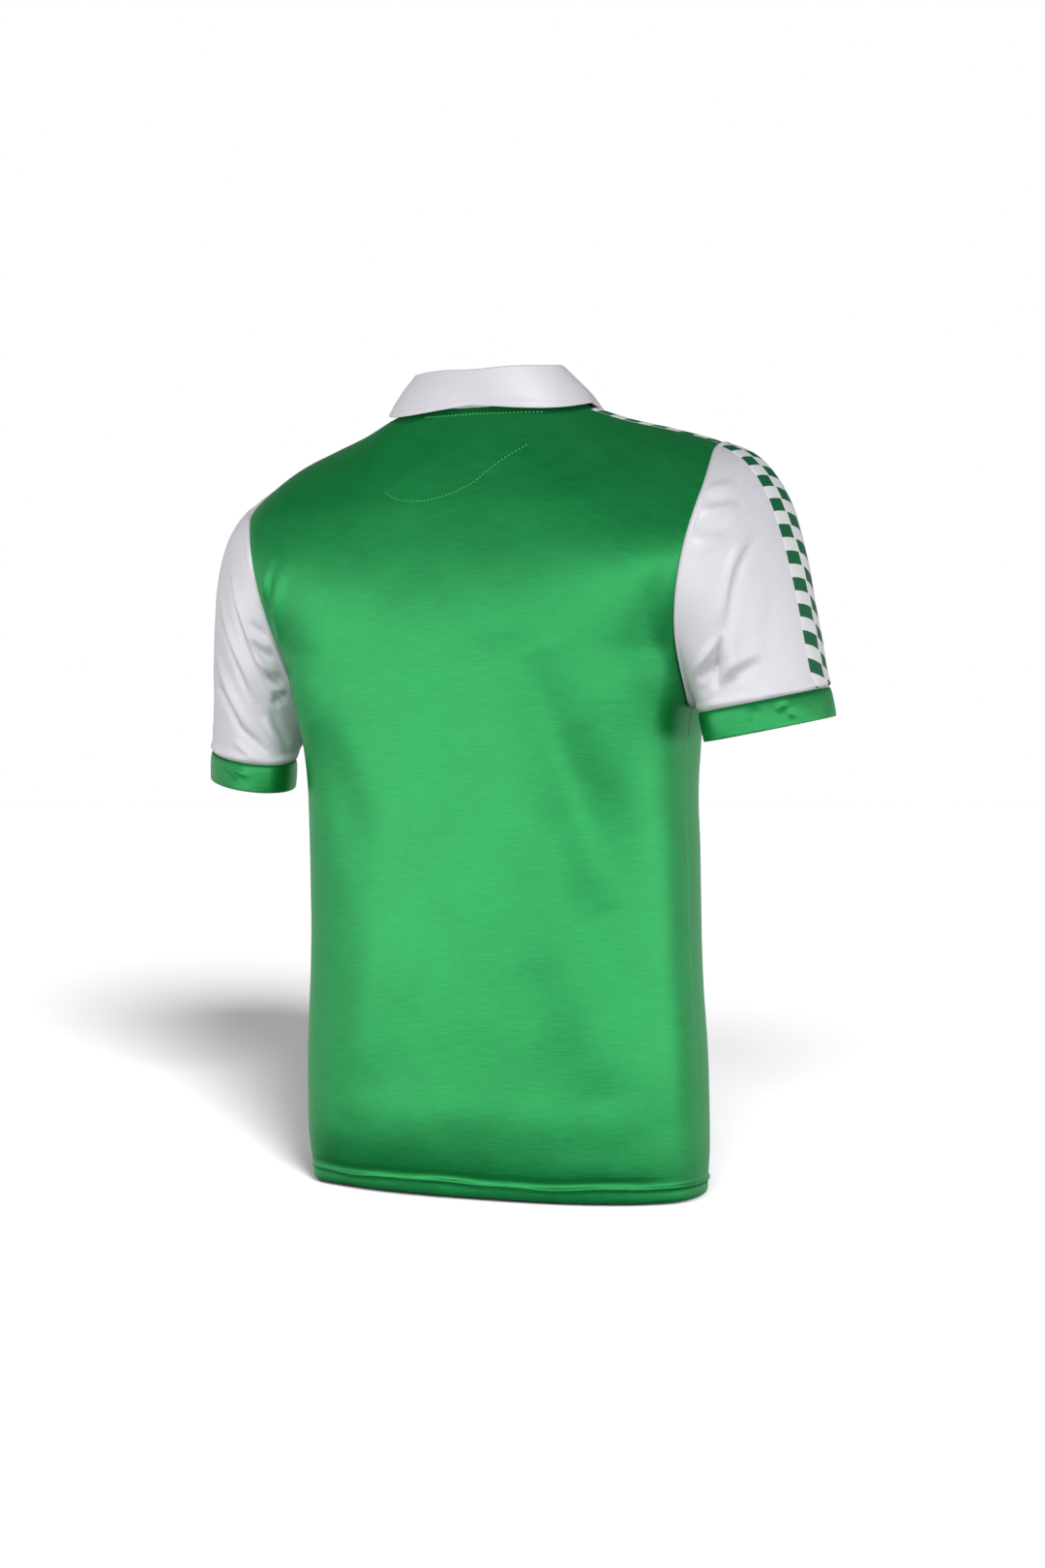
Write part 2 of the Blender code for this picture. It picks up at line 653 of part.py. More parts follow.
def sleeve_tape_points(pose):
    """The left-hand sleeve tape, on the sleeve's own rows, down its outer line."""
    offsets = np.linspace(-TAPE_WIDTH / 2, TAPE_WIDTH / 2, TAPE_COLUMNS + 1)
    angles = armhole_ring()[1]
    turned = np.where(angles > 180.0, angles - 360.0, angles)
    shares = np.linspace(0.0, 1.0, SLEEVE_ROWS + 1)
    grid, normals = sleeve_points(pose, angles, shares)
    lifted = grid + normals * (TAPE_LIFT + TAPE_WALL)
    near = np.argsort(turned[:-1])
    near = near[np.abs(turned[near]) < SLEEVE_TAPE_SEARCH]
    rows = []
    for share, row in zip(shares, lifted[:, near]):
        travelled = np.concatenate([[0.0], np.cumsum(np.linalg.norm(np.diff(row, axis=0), axis=1))])
        middle = TapePlace(*smooth_row(SLEEVE_TAPE_PATH, share))
        centre = np.interp(middle.angle, turned[near], travelled)
        wanted = centre + offsets
        rows.append(np.column_stack([np.interp(wanted, travelled, row[:, i]) for i in range(3)]))
    rows = np.array(rows)
    rows[0] += (rows[1] - rows[0]) * TAPE_END_SHARE
    rows[-1] += (rows[-2] - rows[-1]) * TAPE_END_SHARE
    return rows


# ---- Building objects --------------------------------------------------------------
def clear_scene():
    """Remove every object."""
    for found in list(bpy.data.objects):
        bpy.data.objects.remove(found)


def cloth_material(name, colour, roughness):
    """A plain cloth finish."""
    material = bpy.data.materials.new(name)
    material.use_nodes = True
    shader = material.node_tree.nodes["Principled BSDF"]
    shader.inputs["Base Color"].default_value = (*colour, 1.0)
    shader.inputs["Roughness"].default_value = roughness
    shader.inputs["Metallic"].default_value = 0.0
    return material


def sheet_object(name, grid, wall, material, collection, closed=False):
    """An object from a grid of points, with its wall on the inner side."""
    rows, columns = grid.shape[:2]
    used = columns - 1 if closed else columns
    points = [tuple(point) for row in grid for point in row[:used]]
    faces = []
    for row in range(rows - 1):
        for column in range(columns - 1):
            after = (column + 1) % used
            here, below = row * used, (row + 1) * used
            faces.append((here + column, below + column, below + after, here + after))
    mesh = bpy.data.meshes.new(name)
    mesh.from_pydata(points, [], faces)
    mesh.update()
    mesh.shade_smooth()
    made = bpy.data.objects.new(name, mesh)
    made.data.materials.append(material)
    collection.objects.link(made)
    solidify = made.modifiers.new("wall", "SOLIDIFY")
    solidify.thickness = wall
    solidify.offset = -1.0
    return made


def main():
    """Build the jersey."""
    clear_scene()
    collection = bpy.data.collections.new("football_jersey")
    bpy.context.scene.collection.children.link(collection)
    green = cloth_material("green_knit", (0.010, 0.200, 0.060), 0.55)
    white = cloth_material("white_knit", (0.780, 0.780, 0.800), 0.60)
    band = cloth_material("green_band", (0.008, 0.160, 0.045), 0.55)
    tape = cloth_material("tape", (0.700, 0.720, 0.700), 0.60)
    sheet_object("back_panel", panel_points(True), KNIT_WALL, green, collection)
    sheet_object("front_panel", panel_points(False)[:, ::-1], KNIT_WALL, green, collection)
    sheet_object("collar", collar_points(), COLLAR_WALL, white, collection)
    angles = armhole_ring()[1]
    shares = np.linspace(0.0, 1.0, SLEEVE_ROWS + 1)
    drops = np.linspace(0.0, CUFF_HEIGHT, CUFF_ROWS + 1) + SEAM_GAP
    for pose in SLEEVES:
        mirror = np.array([float(pose.side), 1.0, 1.0])
        order = pose.side
        sleeve = sleeve_points(pose, angles, shares)[0] * mirror
        cuff = np.array([cuff_ring(pose, angles, drop, CUFF_PROUD) for drop in drops]) * mirror
        shoulder_tape = shoulder_tape_points() * mirror
        sleeve_tape = sleeve_tape_points(pose) * mirror
        name = pose.name
        sheet_object(f"sleeve_{name}", sleeve[:, ::order], KNIT_WALL, white, collection, True)
        sheet_object(f"cuff_{name}", cuff[:, ::order], BAND_WALL, band, collection, True)
        sheet_object(
            f"shoulder_tape_{name}",
            shoulder_tape[:, ::order],
            TAPE_WALL,
            tape,
            collection,
        )
        sheet_object(f"sleeve_tape_{name}", sleeve_tape[:, ::order], TAPE_WALL, tape, collection)


main()
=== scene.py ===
"""Football jersey filled out as if worn: green satin knit, white collar and sleeves.

Frame: metres, +Z up, the wearer's front faces -Y and the left arm is at +X. The origin is
the neck base, midway between the two points where shoulder seam and neckline meet.
"""

import json
import logging
import math
from collections.abc import Callable
from dataclasses import dataclass, field
from enum import Enum

import bpy
import numpy as np
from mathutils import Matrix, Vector

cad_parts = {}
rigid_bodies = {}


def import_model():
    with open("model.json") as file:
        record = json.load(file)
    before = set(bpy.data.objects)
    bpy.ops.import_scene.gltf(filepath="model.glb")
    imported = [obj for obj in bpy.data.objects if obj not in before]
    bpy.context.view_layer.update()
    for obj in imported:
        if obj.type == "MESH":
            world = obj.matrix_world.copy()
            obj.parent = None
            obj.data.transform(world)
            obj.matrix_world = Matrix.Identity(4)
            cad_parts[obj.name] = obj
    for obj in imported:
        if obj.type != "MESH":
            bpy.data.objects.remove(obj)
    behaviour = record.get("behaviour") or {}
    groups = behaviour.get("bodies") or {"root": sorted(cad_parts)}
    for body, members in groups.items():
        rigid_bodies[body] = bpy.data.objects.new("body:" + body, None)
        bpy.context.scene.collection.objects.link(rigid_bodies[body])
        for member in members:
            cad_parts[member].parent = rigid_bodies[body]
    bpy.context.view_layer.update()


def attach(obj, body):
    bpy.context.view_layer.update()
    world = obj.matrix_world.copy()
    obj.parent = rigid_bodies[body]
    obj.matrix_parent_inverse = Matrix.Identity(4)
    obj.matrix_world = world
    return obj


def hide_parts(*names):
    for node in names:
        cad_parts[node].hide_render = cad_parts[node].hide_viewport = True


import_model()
WHITE_PIECES = ("collar_", "sleeve_", "shoulder_tape_")
GREEN_PIECES = ("back_panel_", "front_panel_")

Array = np.ndarray
Rows = tuple[tuple[float, ...], ...]
Colour = tuple[float, float, float]

log = logging.getLogger("jersey")

SEAM_GAP = 0.0003
TINY = 1e-9
MM = 0.001


class Side(Enum):
    """Which half of the body a panel covers, as the sign of its depth."""

    BACK = 1.0
    FRONT = -1.0


class Arm(Enum):
    """Which of the wearer's arms a piece belongs to, as the sign of its place across."""

    LEFT = 1.0
    RIGHT = -1.0


# ---- Curves, grids and meshes --------------------------------------------------------
class Curve:
    """A smooth curve through the rows of a table, read by the table's first column."""

    def __init__(self, rows: Rows) -> None:
        """Prepare the table.

        Args:
            rows: The table's rows, the key first.
        """
        table = np.array(rows, dtype=float)
        self.table = table[np.argsort(table[:, 0])]
        self.keys = self.table[:, 0]
        self.slopes = np.gradient(self.table, self.keys, axis=0)

    def at(self, keys: Array | float) -> Array:
        """Read rows off the curve.

        Args:
            keys: Values of the first column, of any shape.

        Returns:
            The rows, with the columns in the last axis.
        """
        keys = np.clip(np.asarray(keys, dtype=float), self.keys[0], self.keys[-1])
        index = np.clip(np.searchsorted(self.keys, keys) - 1, 0, len(self.keys) - 2)
        span = (self.keys[index + 1] - self.keys[index])[..., None]
        share = (keys - self.keys[index])[..., None] / span
        return hermite(
            self.table[index],
            self.table[index + 1],
            self.slopes[index] * span,
            self.slopes[index + 1] * span,
            share,
        )


def hermite(start: Array, end: Array, leave: Array, arrive: Array, share: Array) -> Array:
    """A cubic between two values with a slope at each end.

    Args:
        start: Values at share 0.
        end: Values at share 1.
        leave: Slopes at share 0.
        arrive: Slopes at share 1.
        share: How far along, from 0 to 1.

    Returns:
        The values between.
    """
    return (
        (2 * share**3 - 3 * share**2 + 1) * start
        + (share**3 - 2 * share**2 + share) * leave
        + (3 * share**2 - 2 * share**3) * end
        + (share**3 - share**2) * arrive
    )


def unit(vectors: Array) -> Array:
    """The vectors at length one."""
    return vectors / np.maximum(np.linalg.norm(vectors, axis=-1, keepdims=True), TINY)


def signed_power(values: Array, power: float) -> Array:
    """A power that keeps the sign."""
    return np.sign(values) * np.abs(values) ** power


def travelled(points: Array) -> Array:
    """The distance along a polyline up to each of its points."""
    steps = np.linalg.norm(np.diff(points, axis=0), axis=-1)
    return np.concatenate([[0.0], np.cumsum(steps)])


def read_line(points: Array, keys: Array, wanted: Array) -> Array:
    """Points of a polyline at given keys.

    Args:
        points: The polyline's corners.
        keys: A rising key for each corner.
        wanted: The keys to read.

    Returns:
        A point for each wanted key.
    """
    return np.stack([np.interp(wanted, keys, points[:, i]) for i in range(3)], axis=-1)


def grid_normals(grid: Array, looped: bool, centre: Array) -> Array:
    """Outward unit normals of a grid of points.

    Args:
        grid: Rows by columns by 3.
        looped: Whether the columns close on themselves, with the first repeated last.
        centre: A point inside the form.

    Returns:
        A normal for each point.
    """
    down = np.gradient(grid, axis=0)
    around = np.gradient(grid, axis=1)
    if looped:
        around[:, 0] = around[:, -1] = (grid[:, 1] - grid[:, -2]) / 2
    normals = unit(np.cross(down, around))
    outward = np.median(np.sum(normals * (grid - centre), axis=2))
    return normals if outward > 0 else -normals


def cloth_uv(grid: Array) -> Array:
    """Places on the flat cloth in metres: across along the rows, and up from the last row."""
    across = np.array([travelled(row) for row in grid])
    across -= across[:, -1:] / 2
    down = np.array([travelled(grid[:, i]) for i in range(grid.shape[1])]).T
    return np.stack([across, down[-1:] - down], axis=2)


@dataclass
class Grid:
    """A sheet of cloth as a grid of points with its places on the flat cloth."""

    points: Array
    uv: Array
    looped: bool = False

    def mesh(self, name: str, flipped: bool) -> bpy.types.Mesh:
        """Make the mesh.

        Args:
            name: Its name.
            flipped: Whether the faces' order is turned round.

        Returns:
            The mesh, smooth shaded, with a UV map in metres of cloth.
        """
        rows, columns = self.points.shape[:2]
        used = columns - 1 if self.looped else columns
        row, column = np.meshgrid(np.arange(rows - 1), np.arange(columns - 1), indexing="ij")
        row, column = row.ravel(), column.ravel()
        after = (column + 1) % used
        quads = np.stack(
            [
                row * used + column,
                (row + 1) * used + column,
                (row + 1) * used + after,
                row * used + after,
            ],
            axis=1,
        )
        places = np.stack(
            [
                self.uv[row, column],
                self.uv[row + 1, column],
                self.uv[row + 1, column + 1],
                self.uv[row, column + 1],
            ],
            axis=1,
        )
        if flipped:
            quads, places = quads[:, ::-1], places[:, ::-1]
        return mesh_from(name, self.points[:, :used].reshape(-1, 3), quads, places)


def mesh_from(name: str, points: Array, faces: Array, places: Array | None) -> bpy.types.Mesh:
    """A smooth shaded mesh from arrays.

    Args:
        name: Its name.
        points: The corners.
        faces: Quads, as indices of corners.
        places: UV places for each corner of each face, if it has any.

    Returns:
        The mesh.
    """
    mesh = bpy.data.meshes.new(name)
    mesh.from_pydata(points.tolist(), [], faces.tolist())
    if places is not None:
        layer = mesh.uv_layers.new(name="cloth")
        layer.data.foreach_set("uv", np.ascontiguousarray(places, np.float32).ravel())
    mesh.update()
    mesh.shade_smooth()
    return mesh


def add_object(name: str, mesh: bpy.types.Mesh, material: bpy.types.Material) -> bpy.types.Object:
    """Put a mesh in the scene with one material."""
    made = bpy.data.objects.new(name, mesh)
    made.data.materials.append(material)
    bpy.context.scene.collection.objects.link(made)
    return made


def thicken(piece: bpy.types.Object, wall: float) -> None:
    """Give a sheet its wall, on the inner side."""
    solidify = piece.modifiers.new("wall", "SOLIDIFY")
    solidify.thickness = wall
    solidify.offset = -1.0


def ride(piece: bpy.types.Object, slot: str, *nodes: str) -> bpy.types.Object:
    """Tie a piece to the jersey's one body, hide the nodes it stands for, and log its record slot."""
    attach(piece, "root")
    if nodes:
        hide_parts(*nodes)
    log.info("%s: %d faces, slot %s", piece.name, len(piece.data.polygons), slot)
    return piece


# ---- Folds ---------------------------------------------------------------------------
@dataclass(frozen=True)
class Crease:
    """A soft fold along a path, given in the piece's own two coordinates.

    Lift is how far the cloth stands out, and a trough has a negative one. Skew makes the
    side to the path's left narrower, and the other wider.
    """

    path: Rows
    width: float
    lift: float
    skew: float = 0.0

    def line(self, place: Callable[[Array, Array], Array]) -> Array:
        """The path as closely spaced points in space.

        Args:
            place: Turns the piece's two coordinates into points.

        Returns:
            The points.
        """
        corners = np.array(self.path, dtype=float)
        keys = np.linspace(0.0, 1.0, len(corners))
        fine = np.linspace(0.0, 1.0, 14 * len(corners))
        if len(corners) > 2:
            curve = Curve(tuple((key, *corner) for key, corner in zip(keys, corners)))
            smooth = curve.at(fine)[:, 1:]
        else:
            smooth = corners[0] + (corners[1] - corners[0]) * fine[:, None]
        points = place(smooth[:, 0], smooth[:, 1])
        along = travelled(points)
        count = max(int(along[-1] / (self.width * 0.35)), 8)
        return read_line(points, along, np.linspace(0.0, along[-1], count))

    def lifts(self, points: Array, normals: Array, line: Array) -> Array:
        """How far each point of the cloth moves out.

        Args:
            points: Points of the cloth, in rows of 3.
            normals: Their outward normals.
            line: The crease's own points.

        Returns:
            A distance for each point.
        """
        reach = 3.0 * self.width * (1.0 + abs(self.skew))
        low, high = line.min(axis=0) - reach, line.max(axis=0) + reach
        near = np.where(((points > low) & (points < high)).all(axis=1))[0]
        lift = np.zeros(len(points))
        if not len(near):
            return lift
        gaps = points[near, None] - line[None]
        distances = np.linalg.norm(gaps, axis=2)
        nearest = distances.argmin(axis=1)
        gap = gaps[np.arange(len(near)), nearest]
        ways = unit(np.gradient(line, axis=0))[nearest]
        inside = (nearest > 0) & (nearest < len(line) - 1)
        onward = np.sum(gap * ways, axis=1)
        spacing = np.linalg.norm(line[1] - line[0])
        share = np.clip((nearest + onward / spacing) / (len(line) - 1), 0.0, 1.0)
        gap = np.where(inside[:, None], gap - ways * onward[:, None], gap)
        distance = np.linalg.norm(gap, axis=1)
        left = np.sign(np.sum(np.cross(normals[near], ways) * gap, axis=1))
        width = self.width * (1.0 - self.skew * left)
        ends = np.sin(np.pi * share) ** 0.9
        lift[near] = self.lift * ends * np.exp(-((distance / width) ** 2))
        return lift


@dataclass(frozen=True)
class Crumple:
    """Faint uneven waves all over a piece of cloth, from a fixed set of plane waves."""

    height: float
    shortest: float = 0.018
    longest: float = 0.070
    waves: int = 36
    seed: int = 5

    def lifts(self, points: Array) -> Array:
        """The waves' height at each point.

        Args:
            points: Points of the cloth, in rows of 3.

        Returns:
            A distance for each point.
        """
        source = np.random.default_rng(self.seed)
        ways = unit(source.normal(size=(self.waves, 3)))
        lengths = np.exp(
            source.uniform(math.log(self.shortest), math.log(self.longest), self.waves)
        )
        phases = source.uniform(0.0, 2 * np.pi, self.waves)
        sizes = lengths / lengths.mean()
        turns = points @ (ways / lengths[:, None]).T * 2 * np.pi + phases
        return self.height * (np.sin(turns) * sizes).sum(axis=1) / math.sqrt(self.waves)


def bump(distance: Array, centre: float, width: float) -> Array:
    """A smooth bump of height one round a centre."""
    return np.exp(-(((distance - centre) / width) ** 2))


# ---- The body's form -----------------------------------------------------------------
@dataclass
class BodyForm:
    """The hollow form of the body: level rings below the yoke, and an arch over it."""

    length: float = 0.701
    lean_level: float = -0.360
    hem_lean: float = -0.0048
    yoke_level: float = -0.140
    underarm_level: float = -0.270
    arch_power: float = 1.7
    shoulder_half_width: float = 0.203
    neck_half_width: float = 0.087
    nape_depth: float = 0.056
    neck_roundness: float = 2.2
    v_depth: float = 0.118
    # height, half width, back, front, back squareness, front squareness
    sections: Rows = (
        (-0.140, 0.2580, 0.1120, -0.1170, 3.10, 2.80),
        (-0.170, 0.2400, 0.1115, -0.1200, 3.05, 2.90),
        (-0.190, 0.2250, 0.1105, -0.1230, 3.10, 2.90),
        (-0.220, 0.2040, 0.1090, -0.1270, 3.07, 2.90),
        (-0.250, 0.1928, 0.1065, -0.1300, 3.20, 2.75),
        (-0.270, 0.1870, 0.1050, -0.1320, 3.20, 2.60),
        (-0.320, 0.1820, 0.1025, -0.1340, 2.80, 2.45),
        (-0.400, 0.1825, 0.1010, -0.1340, 2.42, 2.40),
        (-0.500, 0.1840, 0.1010, -0.1340, 2.35, 2.35),
        (-0.600, 0.1890, 0.1005, -0.1325, 2.35, 2.35),
        (-0.630, 0.1895, 0.1000, -0.1315, 2.33, 2.33),
        (-0.660, 0.1900, 0.0970, -0.1290, 2.30, 2.30),
        (-0.710, 0.1870, 0.0880, -0.1210, 2.30, 2.30),
    )
    # across, height, depth
    shoulder_line: Rows = (
        (0.000, 0.0160, 0.021),
        (0.030, 0.0148, 0.020),
        (0.087, 0.0000, 0.014),
        (0.127, -0.0140, -0.004),
        (0.165, -0.0235, -0.023),
        (0.203, -0.0355, -0.036),
        (0.240, -0.0560, -0.044),
    )
    # height, back half width, front half width
    armhole: Rows = (
        (-0.036, 0.2030, 0.2030),
        (-0.057, 0.2115, 0.2020),
        (-0.078, 0.2158, 0.2010),
        (-0.103, 0.2155, 0.1980),
        (-0.134, 0.2110, 0.1940),
        (-0.170, 0.2024, 0.1900),
        (-0.204, 0.1958, 0.1880),
        (-0.220, 0.1938, 0.1875),
        (-0.250, 0.1912, 0.1880),
        (-0.270, 0.1870, 0.1870),
    )
    # height, how much wider the back is at the left armhole
    left_reach: Rows = (
        (-0.036, 0.0),
        (-0.048, 0.0100),
        (-0.062, 0.0220),
        (-0.080, 0.0240),
        (-0.098, 0.0140),
        (-0.116, 0.0020),
        (-0.136, -0.0015),
        (-0.160, 0.0),
        (-0.270, 0.0),
    )
    middle: Array = field(default_factory=lambda: np.array([0.0, 0.0, -0.190]))

    def __post_init__(self) -> None:
        """Prepare the curves."""
        self.section_curve = Curve(self.sections)
        self.shoulder_curve = Curve(self.shoulder_line)
        self.armhole_curve = Curve(self.armhole)
        self.left_curve = Curve(self.left_reach)

    def leaned(self, points: Array) -> Array:
        """The points moved to the wearer's right, more so towards the hem."""
        share = (self.lean_level - points[..., 2]) / (self.lean_level + self.length)
        shift = self.hem_lean * np.clip(share, 0.0, 1.0)
        return points + shift[..., None] * np.array([1.0, 0.0, 0.0])

    def depth(self, heights: Array, across: Array, side: Side) -> Array:
        """How far back or forward the level ring at each height reaches.

        Args:
            heights: Heights of the rings.
            across: Distances from the centre.
            side: The back or the front.

        Returns:
            The depths.
        """
        section = self.section_curve.at(heights)
        square = section[..., 4 if side is Side.BACK else 5]
        share = np.clip(np.abs(across) / section[..., 1], 0.0, 1.0)
        reach = (1.0 - share**square) ** (1.0 / square)
        return section[..., 2 if side is Side.BACK else 3] * reach

    def over(self, across: Array, turn: Array, side: Side) -> Array:
        """Points over the shoulder: turn 0 is the shoulder line, a quarter turn the yoke.

        Args:
            across: Distances from the centre.
            turn: Turns in radians. Past a quarter the point runs on down the panel.
            side: The back or the front.

        Returns:
            The points.
        """
        across, turn = np.broadcast_arrays(np.asarray(across, float), np.asarray(turn, float))
        ridge = self.shoulder_curve.at(np.abs(across))
        rise = ridge[..., 1] - self.yoke_level
        past = np.maximum(turn - np.pi / 2, 0.0)
        below = self.yoke_level - past * rise
        edge = self.depth(below, across, side)
        inside = np.clip(turn, 0.0, np.pi / 2)
        power = 2.0 / self.arch_power
        arched = ridge[..., 1] - rise * (1.0 - np.cos(inside) ** power)
        height = np.where(past > 0.0, below, arched)
        depth = ridge[..., 2] + (edge - ridge[..., 2]) * np.sin(inside) ** power
        return np.stack([across, depth, height], axis=-1)

    def turn_at_height(self, across: Array, heights: Array) -> Array:
        """The turns at which the cloth over the shoulder has these heights."""
        ridge = self.shoulder_curve.at(np.abs(across))
        share = (heights - self.yoke_level) / (ridge[..., 1] - self.yoke_level)
        return np.arccos(np.clip(share, 0.0, 1.0) ** (self.arch_power / 2.0))

    def turn_at_depth(self, across: Array, depths: Array, side: Side) -> Array:
        """The turns at which the cloth over the shoulder lies at these depths."""
        ridge = self.shoulder_curve.at(np.abs(across))
        edge = self.depth(np.full_like(across, self.yoke_level), across, side)
        share = (depths - ridge[..., 2]) / (edge - ridge[..., 2])
        return np.arcsin(np.clip(share, 0.0, 1.0) ** (self.arch_power / 2.0))

    def neck_turn(self, across: Array, side: Side) -> Array:
        """The turns at which the neck cut crosses lines this far from the centre."""
        across = np.asarray(across, float)
        share = np.minimum(np.abs(across) / self.neck_half_width, 1.0)
        if side is Side.FRONT:
            return self.turn_at_height(across, -self.v_depth * (1.0 - share))
        start = self.shoulder_curve.at(self.neck_half_width)[2]
        bulge = (1.0 - share**self.neck_roundness) ** (1.0 / self.neck_roundness)
        return self.turn_at_depth(across, start + (self.nape_depth - start) * bulge, side)

    def surface(self, across: Array, heights: Array, side: Side) -> Array:
        """Points of the form at places across and heights.

        Args:
            across: Distances from the centre.
            heights: Heights.
            side: The back or the front.

        Returns:
            The points.
        """
        across, heights = np.asarray(across, float), np.asarray(heights, float)
        high = self.over(across, self.turn_at_height(across, heights), side)
        low = np.stack([across, self.depth(heights, across, side), heights], axis=-1)
        return np.where((heights > self.yoke_level)[..., None], high, low)

    def armhole_half_width(self, heights: Array, side: Side, left: Array | bool) -> Array:
        """How far out the panel reaches at the armhole.

        Args:
            heights: Heights on the armhole.
            side: The back or the front.
            left: Whether it is the wearer's left armhole.

        Returns:
            Distances from the centre.
        """
        reach = self.armhole_curve.at(heights)[..., 1 if side is Side.BACK else 2]
        if side is Side.BACK:
            reach = reach + np.where(left, self.left_curve.at(heights)[..., 1], 0.0)
        return reach

    def frame_over(self, across: Array, over: Array) -> tuple[Array, Array, Array, Array]:
        """The form near places over the shoulder, a positive turn being to the back.

        Args:
            across: Distances from the centre.
            over: Signed turns.

        Returns:
            The points, their outward normals, and the slopes along across and over.
        """
        step = 1e-4

        def read(x: Array, turn: Array) -> Array:
            back = self.over(x, np.abs(turn), Side.BACK)
            front = self.over(x, np.abs(turn), Side.FRONT)
            return np.where((turn >= 0)[..., None], back, front)

        here = read(across, over)
        over_way = (read(across, over + step) - read(across, over - step)) / (2 * step)
        across_way = (read(across + step, over) - read(across - step, over)) / (2 * step)
        normals = unit(np.cross(over_way, across_way))
        outward = np.sign(np.sum(normals * (here - self.middle), axis=-1, keepdims=True))
        return here, normals * outward, across_way, over_way


# ---- Finishes ------------------------------------------------------------------------
class Nodes:
    """A short way to lay out a material's nodes."""

    def __init__(self, name: str) -> None:
        """Start a material.

        Args:
            name: Its name.
        """
        self.material = bpy.data.materials.new(name)
        self.material.use_nodes = True
        self.tree = self.material.node_tree
        self.shader = self.tree.nodes["Principled BSDF"]

    def add(self, kind: str, **settings: object) -> bpy.types.Node:
        """Add a node.

        Args:
            kind: The node's type, without its ShaderNode prefix.
            settings: Properties of the node.

        Returns:
            The node.
        """
        node = self.tree.nodes.new("ShaderNode" + kind)
        for key, value in settings.items():
            setattr(node, key, value)
        return node

    def link(self, start: bpy.types.NodeSocket, end: bpy.types.NodeSocket) -> None:
        """Join two sockets."""
        self.tree.links.new(start, end)

    def math(self, operation: str, *values: object) -> bpy.types.NodeSocket:
        """A math node fed with sockets or numbers.

        Args:
            operation: Blender's name of the operation.
            values: A socket or a number for each input.

        Returns:
            The output.
        """
        node = self.add("Math", operation=operation)
        for socket, value in zip(node.inputs, values):
            if isinstance(value, (int, float)):
                socket.default_value = value
            else:
                self.link(value, socket)
        return node.outputs[0]

    def cloth_place(self) -> tuple[bpy.types.NodeSocket, bpy.types.NodeSocket]:
        """The place on the flat cloth, across and down, in metres."""
        uv = self.add("UVMap", uv_map="cloth")
        split = self.add("SeparateXYZ")
        self.link(uv.outputs[0], split.inputs[0])
        return split.outputs[0], split.outputs[1]

    def stretched_noise(self, across: float, down: float, detail: float) -> bpy.types.NodeSocket:
        """Noise on the flat cloth, drawn out in one direction.

        Args:
            across: Its scale across, per metre.
            down: Its scale down, per metre.
            detail: How many octaves.

        Returns:
            The noise's value.
        """
        uv = self.add("UVMap", uv_map="cloth")
        mapping = self.add("Mapping")
        mapping.inputs["Scale"].default_value = (across, down, 1.0)
        noise = self.add("TexNoise", noise_dimensions="2D")
        noise.inputs["Scale"].default_value = 1.0
        noise.inputs["Detail"].default_value = detail
        self.link(uv.outputs[0], mapping.inputs["Vector"])
        self.link(mapping.outputs[0], noise.inputs["Vector"])
        return noise.outputs[0]

    def blend(
        self, share: bpy.types.NodeSocket, first: object, second: object
    ) -> bpy.types.NodeSocket:
        """A mix of two colours, each a socket or red, green and blue.

        Args:
            share: How much of the second.
            first: The colour at share 0.
            second: The colour at share 1.

        Returns:
            The mixed colour.
        """
        mix = self.add("Mix", data_type="RGBA")
        self.link(share, mix.inputs[0])
        for socket, value in ((mix.inputs[6], first), (mix.inputs[7], second)):
            if isinstance(value, tuple):
                socket.default_value = (*value, 1.0)
            else:
                self.link(value, socket)
        return mix.outputs[2]

    def ranged(
        self, value: bpy.types.NodeSocket, low: float, high: float, first: float, last: float
    ) -> bpy.types.NodeSocket:
        """A value moved from one range to another, and kept in it."""
        node = self.add("MapRange")
        self.link(value, node.inputs[0])
        for socket, number in zip(node.inputs[1:5], (low, high, first, last)):
            socket.default_value = number
        return node.outputs[0]


